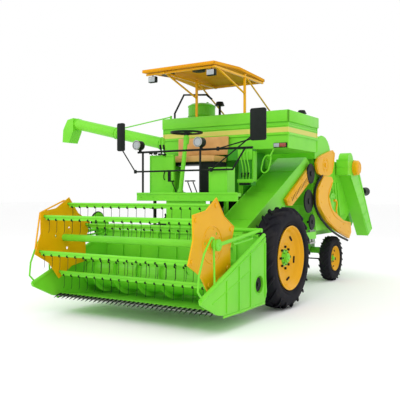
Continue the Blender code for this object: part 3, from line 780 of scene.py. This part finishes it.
def divider_trim(word, side):
    """Ribs, braces, bolts and the windowed pulley on one of the header's end panels."""
    low, high = corners(f"divider_{word}")
    out = X_AXIS * side
    face = (high.x if side > 0 else low.x) - side * 0.008
    near, far = sorted((face - side * 0.002, face + side * 0.013))
    window = beside(face, -1.05, 0.50)
    shapes = [
        block(beside(near, -2.05, 0.205), beside(far, -0.88, 0.232), 0.003),
        bar(beside(face, -2.40, 0.535), beside(face, -0.86, 1.10), 0.010, 8),
        bar(beside(face, -2.30, 0.42), beside(face, -1.30, 0.72), 0.008, 8),
        hoop(window, X_AXIS, 0.128, 0.011, 32, 8),
    ]
    for y, z0, z1 in ((-0.86, 0.30, 1.06), (-1.30, 0.22, 0.96), (-1.62, 0.22, 0.82), (-1.95, 0.26, 0.66)):
        shapes.append(block(beside(near, y - 0.013, z0), beside(far, y + 0.013, z1), 0.003))
    shapes += bolts(row(beside(face, -0.86, 0.36), beside(face, -0.86, 1.0), 6), out, 0.008, 0.016)
    piece(f"divider_ribs_{word}", shapes, "green", "header")
    pulley = window - out * 0.030
    drive = [
        drum(pulley, -0.012, 0.012, 0.085, 28),
        hoop(pulley, X_AXIS, 0.085, 0.016, 32, 8),
        drum(pulley, 0, side * 0.03, 0.028, 16),
    ]
    drive += bolts(around(pulley + out * 0.012, 0.055, 5), out, 0.008, 0.006)
    piece(f"divider_pulley_{word}", drive, "black", "header")


wheels()
tines()
flights()
knife_guards()
reel_straps()
feather_ring()
reel_drive()
reel_arm_trim()
header_trim()


# ---------------------------------------------------------------- body, tank and roof


def tank_trim():
    """Pressed folds, ribs, caps, hand loop and corner lamp of the grain tank."""
    low, high = Vector(tank_low), Vector(tank_high)
    low.x = AXLE.x - 1.55
    shapes = []
    for z, fold in ((STRIPE[0] - 0.028, 0.022), (STRIPE[1] + 0.030, 0.016), (high.z - 0.012, 0.011)):
        for y in (low.y - 0.001, high.y + 0.001):
            shapes.append(bar((low.x + 0.004, y, z), (high.x - 0.004, y, z), fold, 12))
        shapes += [bar((x, low.y, z), (x, high.y, z), fold, 12) for x in (low.x - 0.001, high.x + 0.001)]
    for x in (low.x, high.x):
        shapes += [bar((x, y, low.z + 0.004), (x, y, high.z), 0.012, 8) for y in (low.y, high.y)]
    for k in range(1, 5):
        x = low.x + (high.x - low.x) * k / 5
        rib_high = (x + 0.012, high.y + 0.010, STRIPE[0] - 0.03)
        shapes.append(block((x - 0.012, high.y - 0.002, low.z + 0.01), rib_high, 0.003))
    flare, top = high.z - 0.19, high.z - 0.006
    shapes += [
        block((low.x - 0.012, low.y - 0.034, flare), (high.x + 0.034, low.y + 0.004, top), 0.012),
        block((high.x - 0.004, low.y - 0.034, flare), (high.x + 0.034, high.y + 0.012, top), 0.012),
    ]
    piece("tank_ribs", shapes, "green", paint=TANK_PAINT)
    caps = [
        bar(at(-0.62, 0.70, 2.52), at(-0.62, 0.70, 3.34), 0.022, 12),
        bar(at(-0.62, 0.70, 3.31), at(-0.62, 0.70, 3.38), 0.085, 28, 0.060),
        bar(at(0.72, 1.20, 2.52), at(0.72, 1.20, 3.15), 0.020, 12),
        bar(at(0.72, 1.20, 3.13), at(0.72, 1.20, 3.19), 0.085, 24, 0.055),
    ]
    piece("tank_caps", caps, "black")
    ring = [(0.58, 2.36), (0.50, 2.36), (0.43, 2.22), (0.43, 2.11), (0.50, 2.10), (0.57, 2.24), (0.585, 2.35)]
    loop = tube([at(x, 0.25, z) for x, z in ring], 0.012)
    piece("tank_hand_loop", [loop, bar(at(0.57, 0.25, 2.35), at(0.60, 0.33, 2.482), 0.012)], "green")
    for name, left, right, front, back, inset, edge, slot, paint in (
        ("case", 0.24, 0.01, 0.035, 0.001, 0.010, 0.006, "black", None),
        ("clear", 0.23, 0.135, 0.048, 0.034, 0.018, 0.005, "steel", CLEAR),
        ("red", 0.13, 0.02, 0.048, 0.034, 0.018, 0.005, "amber", RED),
    ):
        lamp_high = (high.x - right, low.y - back, low.z + 0.095 - inset)
        lamp = block((high.x - left, low.y - front, low.z + inset), lamp_high, edge)
        piece(f"tank_lamp_{name}", [lamp], slot, paint=paint)


def roof_trim():
    """Rolled edge, lamps, and black discs of painted shade for the round recesses under the canopy's front."""
    low, high = corners("canopy_roof")
    edge = low.z + 0.02
    shapes = [bar((low.x, y, edge), (high.x, y, edge), 0.012, 8) for y in (low.y + 0.004, high.y - 0.004)]
    piece("roof_edge", shapes, "amber", paint=ROOF_PAINT)
    # Black discs under the roof are painted shade: they stand for the dark inside the round recesses.
    shapes = []
    for x in (-0.96, -0.36):
        shapes.append(bar(at(x, -0.41, low.z - 0.015), at(x, -0.41, low.z + 0.035), 0.105, 28, 0.115))
    piece("roof_recess_shades", shapes, "black")
    for word, x in (("right", low.x + 0.14), ("left", high.x - 0.10)):
        base = vec(x, low.y + 0.10, low.z + 0.002)
        stem = bar(base, base - Z_AXIS * 0.06, 0.008)
        case = block(base + vec(-0.075, -0.035, -0.155), base + vec(0.075, 0.035, -0.055), 0.014)
        piece(f"roof_lamp_{word}", [stem, case], "black")
        glass = block(base + vec(-0.064, -0.046, -0.146), base + vec(0.064, -0.034, -0.064), 0.010)
        piece(f"roof_lamp_glass_{word}", [glass], "steel", paint=CLEAR)


def headlamps():
    low, high = corners("platform_railing")
    for word, x in (("right", AXLE.x - 1.25), ("left", AXLE.x - 0.09)):
        face = vec(x, low.y + 0.002, high.z - 0.075)
        rim = [hoop(face, Y_AXIS, 0.070, 0.009, 28, 8)]
        piece(f"headlamp_rim_{word}", rim, "steel")
        glass = [bar(face + vec(0, 0.006, 0), face + vec(0, -0.004, 0), 0.066, 28, 0.056)]
        piece(f"headlamp_glass_{word}", glass, "steel", paint=CLEAR)


def mirrors():
    """Rounded mirror heads on their arms, each silvered towards the driver."""
    rail_y = at(0, -0.77, 0).y
    for word, half, stems in (
        ("left", 0.125, ((0.22, 2.42, 0.05), (0.10, 2.11, 0.14))),
        ("right", 0.075, ((-1.33, 2.11, 0.05),)),
    ):
        low, high = corners(f"mirror_{word}")
        x = high.x - half if word == "left" else low.x + half
        z0, z1, soft = high.z - 0.46, high.z, 0.034
        shell = [
            block((x - half + soft, low.y + 0.001, z0), (x + half - soft, low.y + 0.030, z1), 0.004),
            block((x - half, low.y + 0.0015, z0 + soft), (x + half, low.y + 0.0295, z1 - soft), 0.004),
        ]
        for px in (x - half + soft, x + half - soft):
            for pz in (z0 + soft, z1 - soft):
                shell.append(bar((px, low.y + 0.002, pz), (px, low.y + 0.029, pz), soft, 20))
        shell.append(bar((x, low.y + 0.004, z1 - 0.17), (x, low.y - 0.0005, z1 - 0.17), 0.016, 14))
        for stem, rail_z, rise in stems:
            foot = vec(AXLE.x + stem, rail_y - 0.034, rail_z)
            shell.append(tube([foot, (x, rail_y - 0.062, z0 + rise)], 0.010))
            shell.append(block(foot - vec(0.02, 0.011, 0.03), foot + vec(0.02, 0.0165, 0.03), 0.004))
        piece(f"mirror_shell_{word}", shell, "black", hides=(f"mirror_{word}",))
        inner = half - 0.02
        glass = block((x - inner, low.y + 0.028, z0 + 0.02), (x + inner, low.y + 0.033, z1 - 0.02), 0.002)
        piece(f"mirror_glass_{word}", [glass], "steel", paint=MIRROR)


def seat():
    """Padded cushion and backrest with piped edges and sewn channels."""
    for name, node, thin in (("cushion", "seat_cushion", 2), ("backrest", "seat_backrest", 1)):
        low, high = corners(node)
        alone()
        bpy.ops.mesh.primitive_cube_add(size=1, location=(low + high) / 2, scale=(high - low) * 0.985)
        pad = settled()
        with editing():
            bpy.ops.mesh.subdivide(number_cuts=19)
        centre, half = (low + high) / 2, (high - low) / 2
        across = [k for k in range(3) if k != thin]
        for v in pad.data.vertices:
            u = v.co - centre
            flat = [u[k] / half[k] for k in range(3)]
            first, second = (flat[k] for k in across)
            crown = (1 - first ** 4) * (1 - second ** 4)
            if thin == 2:
                channel = 0.16 * math.exp(-(((first * 3.0 + 0.5) % 1.0 - 0.5) / 0.10) ** 2)
            else:
                channel = 0.10 * math.exp(-((first * 2.5 + 0.5) % 1.0 - 0.5) ** 2 / 0.012)
            if thin == 1 or u[thin] > 0:
                u[thin] *= 0.62 + 0.38 * crown - channel * crown
            pull = 1.0 - 0.035 * flat[thin] ** 2 * max(abs(first), abs(second)) ** 6
            for k in across:
                u[k] *= pull
            v.co = centre + u
        modified(pad, "SUBSURF", levels=1, render_levels=1)
        done = piece(f"{name}_pad", [pad], "tan", hides=(node,))


def feeder_trim():
    """Amber guard, flange angles, joint strip and bolts on the inclined conveyor."""
    low, high = corners("feeder_house")
    along = vec(0, math.cos(FEED_SLOPE), math.sin(FEED_SLOPE))
    up = vec(0, -along.z, along.y)

    def on(x, s, d):
        return beside(x, *FEED_FOOT) + along * s + up * d

    shapes = [bar(on(x, 0.03, 0.0), on(x, 2.92, 0.0), 0.009, 8) for x in (low.x + 0.006, high.x - 0.006)]
    for s in (0.62, 1.55, 2.35):
        shapes.append(bar(on(low.x + 0.01, s, 0.001), on(high.x - 0.01, s, 0.001), 0.006, 8))
    for x in (low.x + 0.05, high.x - 0.05):
        shapes += bolts(row(on(x, 0.12, 0.0), on(x, 2.8, 0.0), 14), up, 0.008, 0.005)
    shapes.append(bar(on(high.x + 0.002, 0.15, -0.30), on(high.x + 0.002, 2.6, -0.30), 0.008, 8))
    piece("feeder_flanges", shapes, "green", "header")
    outline = [(0.72, 1.66), (0.80, 1.555), (0.97, 1.55), (2.02, 2.09), (1.97, 2.20), (1.80, 2.27)]
    shapes = [slab(outline, high.x + 0.003, high.x + 0.055, 0.006)]
    inner = [(0.80, 1.665), (0.85, 1.60), (0.96, 1.60), (1.95, 2.11), (1.90, 2.17), (1.80, 2.21)]
    shapes.append(slab(inner, high.x + 0.054, high.x + 0.060, 0.003))
    face = high.x + 0.060
    spots = ((0.79, 1.62), (1.15, 1.68), (1.55, 1.89), (1.92, 2.12), (1.40, 2.01), (1.05, 1.82))
    shapes += bolts(on_side(face, spots), X_AXIS, 0.012, 0.008)
    piece("feeder_guard", shapes, "amber", "header")
    # Black bars on the guard face are painted shade: they stand for the dark behind the guard's slots.
    opening_shades = []
    for k in range(17):
        y, z = 0.95 + 0.055 * k, 1.665 + 0.0283 * k
        opening_shades.append(bar(beside(face, y - 0.016, z + 0.032), beside(face, y + 0.016, z - 0.032), 0.006, 8))
    piece("feeder_guard_slots", opening_shades, "black", "header")


def drive_trim():
    """Bolt rings, ribs, belts and pulleys on the left side's drives."""
    side = corners("drive_cover")[1].x
    centre = beside(side, 2.42, 2.30)
    shapes = [
        hoop(centre, X_AXIS, 0.14, 0.008, 32, 8),
        drum(centre, -0.01, 0.022, 0.05, 20, 0.042),
    ]
    shapes += bolts(around(centre, 0.10, 6), X_AXIS, 0.011, 0.008)
    edge = [(2.07, 2.16), (1.99, 2.30), (2.06, 2.39), (2.80, 2.57), (2.91, 2.52), (2.78, 2.18)]
    edge = on_side(side + 0.001, edge)
    shapes += [bar(start, end, 0.007, 8) for start, end in zip(edge, edge[1:])]
    side = corners("belt_guard")[1].x
    for bend in (
        [(2.03, 1.83), (1.98, 1.70), (2.03, 1.57), (2.47, 1.28), (3.10, 1.04), (3.75, 0.88)],
        [(2.74, 1.98), (2.53, 1.71), (2.73, 1.42), (3.38, 1.19), (3.84, 1.13)],
    ):
        shapes.append(tube(on_side(side + 0.002, bend), 0.009))
    spots = [(2.2, 1.9), (2.15, 1.6), (2.6, 1.3), (3.2, 1.08), (3.7, 0.98), (3.4, 1.14)]
    shapes += bolts(on_side(side, spots), X_AXIS, 0.012, 0.008)
    piece("drive_ribs", shapes, "amber")
    belt = [(2.26, 2.10), (1.93, 1.86), (1.885, 1.70), (1.93, 1.52), (2.42, 1.19), (3.08, 0.95), (3.74, 0.79)]
    band = [tube(on_side(side - 0.030, belt), 0.022)]
    for y, z, radius in ((1.80, 2.12, 0.17), (1.70, 1.62, 0.20), (1.86, 1.24, 0.13)):
        wheel = beside(side - 0.075, y, z)
        band += [
            drum(wheel, -0.015, 0.015, radius, 32),
            hoop(wheel, X_AXIS, radius, 0.014, 36, 8),
            drum(wheel, 0, 0.03, radius * 0.28, 16),
            drum(wheel, -0.09, 0, 0.022, 12),
        ]
    piece("drive_belts", band, "black")


def elevator_trim():
    """Round cover, flanges and tailings roller of the grain elevator."""
    head = at(0.86, 3.66, 2.29)
    cover = [
        drum(head, 0, 0.085, 0.150, 36),
        drum(head, 0.085, 0.110, 0.150, 36, 0.120),
        hoop(head + X_AXIS * 0.108, X_AXIS, 0.080, 0.007, 28, 8),
        hoop(head + X_AXIS * 0.010, X_AXIS, 0.152, 0.008, 36, 8),
    ]
    cover += bolts(around(head + X_AXIS * 0.109, 0.100, 6), X_AXIS, 0.009, 0.006)
    piece("round_cover", cover, "amber")
    leg = [(3.46, 2.10), (4.70, 0.88), (3.96, 2.18), (4.94, 0.99)]
    top_a, low_a, top_b, low_b = on_side(AXLE.x + 0.852, leg)
    shapes = [bar(top_a, low_a, 0.010, 8), bar(top_b, low_b, 0.010, 8)]
    shapes += [bar(top_a.lerp(low_a, k / 6), top_b.lerp(low_b, k / 6), 0.007, 8) for k in range(1, 6)]
    shapes += bolts(row(top_a, low_a, 12), X_AXIS, 0.009, 0.014)
    for z in (2.15, 2.30, 2.43):
        shapes.append(bar(at(0.62, 3.249, z), at(0.86, 3.249, z), 0.007, 8))
        shapes.append(bar(at(0.861, 3.25, z), at(0.861, 3.47, z), 0.007, 8))
    piece("elevator_flanges", shapes, "green")
    knob = at(0.74, 4.36, 1.81)
    roller = [
        bar(knob, knob + Y_AXIS * 0.40, 0.035, 20),
        bar(knob + Y_AXIS * 0.24, knob + Y_AXIS * 0.50, 0.085, 28, 0.095),
        bar(knob + Y_AXIS * 0.50, knob + Y_AXIS * 0.54, 0.095, 28, 0.070),
    ]
    piece("tailings_roller", roller, "black")


def body_trim():
    """Panel joints, hatch, louvres, rivets and fan housing on the threshing body."""
    low, high = corners("thresher_body")
    shapes = []
    for side, x in ((1, high.x), (-1, low.x)):
        for y in (2.55, 3.15, 3.75):
            shapes.append(block(beside(x - 0.004, y - 0.012, 1.32), beside(x + 0.004, y + 0.012, 2.28), 0.002))
        for z, reach, count in ((2.30, 3.85, 14), (1.30, 3.6, 12)):
            shapes.append(block(beside(x - 0.005, 2.2, z - 0.014), beside(x + 0.005, 3.9, z + 0.014), 0.003))
            shapes += bolts(row(beside(x, 2.25, z), beside(x, reach, z), count), X_AXIS * side, 0.008, 0.010)
    shapes.append(block(beside(low.x - 0.012, 2.62, 1.55), beside(low.x + 0.004, 3.08, 2.12), 0.008))
    for k in range(7):
        z = 1.55 + 0.08 * k
        shapes.append(bar(beside(low.x - 0.004, 3.25, z), beside(low.x - 0.004, 3.68, z), 0.012, 8))
    fan = beside(high.x, 2.98, 1.56)
    shapes += [
        drum(fan, -0.01, 0.045, 0.21, 40),
        hoop(fan + X_AXIS * 0.045, X_AXIS, 0.205, 0.012, 40, 8),
        hoop(fan + X_AXIS * 0.047, X_AXIS, 0.11, 0.008, 32, 8),
    ]
    shapes += bolts(around(fan + X_AXIS * 0.046, 0.16, 8), X_AXIS, 0.009, 0.008)
    for k in range(3):
        rod = on_side(high.x + 0.012, [(3.00 + 0.16 * k, 1.98), (3.22 + 0.14 * k, 1.24)])
        shapes.append(bar(*rod, 0.016, 10))
    for y in (2.95, 3.25, 3.55):
        shapes.append(block(beside(low.x, y - 0.014, 2.396), beside(high.x, y + 0.014, 2.406), 0.003))
    angles = [math.pi * (0.04 + 0.92 * k / 12) for k in range(13)]
    arch = [(HOOD_Y + HOOD_R * math.cos(a), HOOD_Z + HOOD_R * math.sin(a)) for a in angles]
    hood_low, hood_high = corners("thresher_hood")
    bands = (hood_low.x + 0.02, (hood_low.x + hood_high.x) / 2, hood_high.x - 0.02)
    shapes += [tube(on_side(x, arch), 0.008) for x in bands]
    piece("body_seams", shapes, "green")
    hook = [(3.03, 1.62), (3.14, 1.62), (3.18, 1.56), (3.15, 1.46), (3.17, 1.36), (3.24, 1.30)]
    hook = on_side(high.x + 0.055, hook)
    shapes = [bar(end, (high.x - 0.01, end.y, end.z), 0.016, 12) for end in (hook[0], hook[-1])]
    piece("shield_hook", [tube(hook, 0.020)] + shapes, "amber")
    shapes = []
    for y0, y1, z0, z1, reach in (
        (1.84, 1.90, 0.86, 1.10, 0.012),
        (1.98, 2.04, 0.84, 1.10, 0.012),
        (1.82, 2.08, 1.06, 1.09, 0.030),
        (1.82, 2.08, 0.94, 0.96, 0.024),
        (1.82, 2.08, 0.84, 0.87, 0.030),
    ):
        shapes.append(block(beside(high.x - 0.02, y0, z0), beside(high.x + reach, y1, z1), 0.003))
    heads = on_side(high.x + 0.030, [(1.87, 1.075), (2.03, 1.075)])
    shapes += bolts(row(*heads, 3), X_AXIS, 0.010, 0.008)
    piece("steel_bracket", shapes, "steel")


def deck_trim():
    """Tread bars and front beam of the driver's platform."""
    low, high = corners("platform_floor")
    shapes = []
    for k in range(16):
        x = low.x + 0.10 + (high.x - low.x - 0.2) * k / 15
        for inset in (0.06, 0.16):
            if inset < 0.1 or x < AXLE.x + 0.30:
                foot, top = vec(x - 0.03, low.y + inset, high.z - 0.001), vec(0.06, 0.015, 0.005)
                shapes.append(block(foot, foot + top, 0.001))
    piece("deck_tread", shapes, "dark_green")
    seam_z = (low.z + high.z) / 2
    beam = [
        block((low.x, low.y - 0.006, high.z - 0.022), (high.x, low.y - 0.001, high.z + 0.012), 0.002),
        block((low.x, low.y - 0.006, low.z), (high.x, low.y - 0.001, low.z + 0.016), 0.002),
    ]
    beam += bolts(row((low.x + 0.08, low.y, seam_z), (high.x - 0.08, low.y, seam_z), 8), -Y_AXIS, 0.010, 0.008)
    piece("deck_front_beam", beam, "green")


def valve_trim():
    """Edges of the valve box, and the valve stack with its pipes, cover and levers."""
    front, back = at(0.02, -0.73, 1.763), at(0.34, -0.50, 2.14)
    corner = vec(back.x, front.y, back.z)
    edges = [
        block(front - Y_AXIS * 0.006, (front.x + 0.022, front.y, back.z), 0.002),
        block((back.x - 0.022, front.y - 0.006, front.z), corner, 0.002),
        block((front.x, front.y - 0.006, back.z - 0.022), corner, 0.002),
        block(front + vec(-0.004, -0.008, back.z - 0.002 - front.z), back + vec(0.004, 0.004, 0.008), 0.003),
    ]
    piece("valve_box_edges", edges, "green")
    top = 2.47

    def on_stack(x, y, z):
        return at(x + 0.08, y + 0.12, z)

    shapes = [
        block(on_stack(-0.02, -0.012, 2.30), on_stack(0.24, -0.001, top), 0.004),
        block(on_stack(-0.02, -0.03, 1.93), on_stack(0.26, -0.001, 1.99), 0.005),
        block(on_stack(0.221, 0.02, 1.95), on_stack(0.25, 0.15, 2.44), 0.006),
    ]
    for x in (0.05, 0.105, 0.16):
        route = [(x, -0.01, top), (x + 0.01, -0.05, 2.34), (x + 0.045, -0.05, 2.16), (x + 0.03, -0.012, 1.98)]
        shapes.append(tube([on_stack(*place) for place in route], 0.010))
        shapes.append(bar(on_stack(x, -0.012, top - 0.05), on_stack(x, -0.012, top), 0.018, 10))
    piece("hydraulic_pipes", shapes, "green")
    shapes = [block(on_stack(0.02, -0.04, 1.895), on_stack(0.20, -0.002, 1.925), 0.004)]
    for x in (0.06, 0.12, 0.18):
        knob = on_stack(x, -0.03, 2.02)
        grip = knob + vec(0.03, -0.05, 0.05)
        shapes += [bar(knob, grip, 0.008, 8), bar(grip, knob + vec(0.04, -0.06, 0.065), 0.014, 10)]
    piece("valve_bank", shapes, "black")


def column_trim():
    """Sleeve of the steering column, and the pedals."""
    foot, top = at(-0.64, -0.52, 1.775), at(-0.63, -0.36, 2.70)
    sleeve = [
        bar(foot, top, 0.036, 20, 0.033),
        bar(foot, foot + Z_AXIS * 0.05, 0.055, 20, 0.040),
        bar(top - vec(0, 0.01, 0.14), top - Z_AXIS * 0.02, 0.046, 20),
    ]
    piece("column_sleeve", sleeve, "green")
    pedals, half = [], vec(0.035, 0.030, 0.010)
    for x in (-0.50, -0.40, -0.80):
        pad = at(x, -0.53, 1.955)
        pedals += [bar(at(x, -0.40, 1.765), at(x, -0.52, 1.94), 0.009, 8), block(pad - half, pad + half, 0.006)]
    piece("pedals", pedals, "black")


def panel_trim():
    """Edges and bolts of the front panel, and the ladder's treads."""
    low, high = corners("front_panel")
    edges = [low.z, high.z - 0.02]
    edge = [block((low.x, low.y - 0.006, z), (high.x, low.y - 0.001, z + 0.02), 0.002) for z in edges]
    first = low + vec(0.04, -0.004, 0.01)
    edge += bolts(row(first, (high.x - 0.04, first.y, first.z), 7), -Y_AXIS)
    piece("front_panel_edge", edge, "green")
    low, high = corners("ladder")
    treads = []
    for k in range(20):
        y, z = low.y + 0.05 + k % 5 * 0.085, 0.63 + 0.30 * (k // 5)
        treads.append(block((low.x + 0.01, y - 0.006, z - 0.001), (high.x - 0.01, y + 0.006, z + 0.005), 0.001))
    piece("step_treads", treads, "steel")


def console_trim():
    """The steering wheel's grip, and the console's levers, switches and edges."""
    grips = [hoop(at(-0.63, -0.355, 2.745), Z_AXIS, 0.25, 0.0165, 56, 10)]
    grips.append(bar(at(-0.63, -0.355, 2.765), at(-0.63, -0.355, 2.785), 0.05, 24, 0.038))
    piece("steering_rim_grip", grips, "black")
    console = [block(at(-1.235, -0.42, 2.218), at(-1.055, 0.08, 2.226), 0.003)]
    for x in (-1.20, -1.14, -1.08):
        console.append(bar(at(x, -0.05, 2.21), at(x, -0.05, 2.36), 0.008, 8))
        console.append(bar(at(x, -0.05, 2.34), at(x, -0.05, 2.39), 0.018, 14, 0.012))
    for k in range(4):
        start = at(-1.27 + 0.09 * k, -0.50, 2.42 - 0.01 * k)
        console.append(bar(start, start + vec(0.06, 0.01, 0.005), 0.016, 12, 0.013))
        console.append(bar(start + X_AXIS * 0.03, start + vec(0.03, 0.05, -0.04), 0.007, 8))
    for x in (-1.13, -1.06):
        console.append(bar(at(x, -0.30, 2.22), at(x, -0.38, 2.50), 0.008, 8))
        console.append(bar(at(x, -0.376, 2.49), at(x, -0.395, 2.565), 0.019, 14, 0.016))
    piece("console_levers", console, "black")
    edges = [
        block(at(-1.28, -0.480, 1.763), at(-1.264, -0.47, 2.38), 0.003),
        block(at(-0.816, -0.480, 1.763), at(-0.80, -0.47, 2.38), 0.003),
        block(at(-1.28, -0.482, 2.366), at(-0.80, -0.426, 2.386), 0.004),
    ]
    piece("console_edges", edges, "green")
    handle = [(-0.98, -0.472, 1.98), (-0.98, -0.495, 2.0), (-0.97, -0.495, 2.10), (-0.97, -0.472, 2.12)]
    latch = [tube([at(*place) for place in handle], 0.008)]
    latch.append(block(at(-0.92, -0.476, 1.95), at(-0.86, -0.468, 2.14), 0.004))
    piece("console_grip", latch, "black")


def engine_trim():
    """Cylinder head covers, pulley and fan on the engine block."""
    top = corners("engine_block")[1].z
    y0, y1 = at(0, 0.34, 0).y, at(0, 1.01, 0).y
    x = at(-0.32, 0, 0).x
    shapes = [block((x - 0.13, y0, top - 0.002), (x + 0.13, y1, top + 0.006), 0.002)]
    for k in range(4):
        y = y0 + 0.09 + 0.165 * k
        shapes.append(block((x - 0.10, y - 0.06, top), (x + 0.10, y + 0.06, top + 0.0065), 0.003))
    face = at(-0.32, 0.30, 1.42)
    shapes.append(bar(face, face + vec(0, -0.05, 0), 0.09, 24))
    shapes.append(hoop(face + vec(0, -0.025, 0), Y_AXIS, 0.088, 0.012, 28, 8))
    for k in range(6):
        angle = math.tau * k / 6
        tip = face + vec(0.19 * math.cos(angle), -0.07, 0.19 * math.sin(angle))
        shapes.append(bar(face + vec(0, -0.06, 0), tip, 0.014, 6, 0.03))
    piece("engine_details", shapes, "steel")


def unloader_trim():
    """Clamp rings along the unloading auger and round its turning foot."""
    start, end = at(-1.72, 0.80, 2.66), at(-4.15, 0.80, 3.22)
    axis = (end - start).normalized()
    shapes = [hoop(start.lerp(end, k), axis, 0.112, 0.010, 28, 8) for k in (0.10, 0.52, 0.55, 0.985)]
    shapes.append(hoop(at(-1.74, 0.80, 2.56), Z_AXIS, 0.122, 0.010, 28, 8))
    piece("unloader_rings", shapes, "green", "unloader")


def drum_trim():
    """Bands, domed lid and clamp of the round air cleaner in the tank."""
    low, high = corners("air_drum")
    centre = (low + high) / 2
    radius = (high.x - low.x) / 2
    bands = [(centre.x, centre.y, high.z - drop) for drop in (0.02, 0.20)]
    shapes = [hoop(band, Z_AXIS, radius, 0.010, 40, 8) for band in bands]
    lid = vec(centre.x, centre.y, high.z)
    shapes.append(bar(lid - vec(0, 0, 0.002), lid + vec(0, 0, 0.03), radius * 0.96, 40, radius * 0.78))
    shapes.append(bar(lid + vec(0, 0, 0.028), lid + vec(0, 0, 0.05), radius * 0.76, 40, radius * 0.30))
    shapes += bolts([lid + vec(radius * 0.5, 0, 0.045)], Z_AXIS, 0.02, 0.015)
    piece("drum_bands", shapes, "green")


tank_trim()
roof_trim()
headlamps()
mirrors()
seat()
feeder_trim()
drive_trim()
elevator_trim()
body_trim()
deck_trim()
valve_trim()
column_trim()
panel_trim()
console_trim()
engine_trim()
unloader_trim()
drum_trim()


# ---------------------------------------------------------------- stage


def stage():
    """Pale floor, soft lights and the camera."""
    alone()
    bpy.ops.mesh.primitive_plane_add(size=200, location=(0, 0, 0))
    floor = bpy.context.object
    floor.name = "floor"
    paper = Paint("white floor", 0.95, colour=(0.97, 0.97, 0.97))
    floor.data.materials.append(paper.material)
    world = bpy.data.worlds.new("studio")
    bpy.context.scene.world = world
    world.use_nodes = True
    sky = world.node_tree.nodes["Background"].inputs
    sky[0].default_value = (1, 1, 1, 1)
    sky[1].default_value = 1.0
    bpy.context.scene.view_settings.view_transform = "Standard"
    for place, size, power in LAMPS:
        lamp = bpy.data.lights.new("softbox", "AREA")
        lamp.size = size
        lamp.energy = power
        holder = bpy.data.objects.new("softbox", lamp)
        holder.location = at(*place)
        holder.rotation_euler = (at(0, 0, 1.2) - at(*place)).to_track_quat("-Z", "Y").to_euler()
        bpy.context.scene.collection.objects.link(holder)
    camera = bpy.data.cameras.new("camera")
    camera.lens = LENS
    camera.sensor_width = 36.0
    camera.shift_y = LENS_SHIFT
    eye = bpy.data.objects.new("camera", camera)
    eye.location = at(*EYE)
    eye.rotation_euler = (math.pi / 2, 0, EYE_TURN)
    bpy.context.scene.collection.objects.link(eye)
    bpy.context.scene.camera = eye


stage()
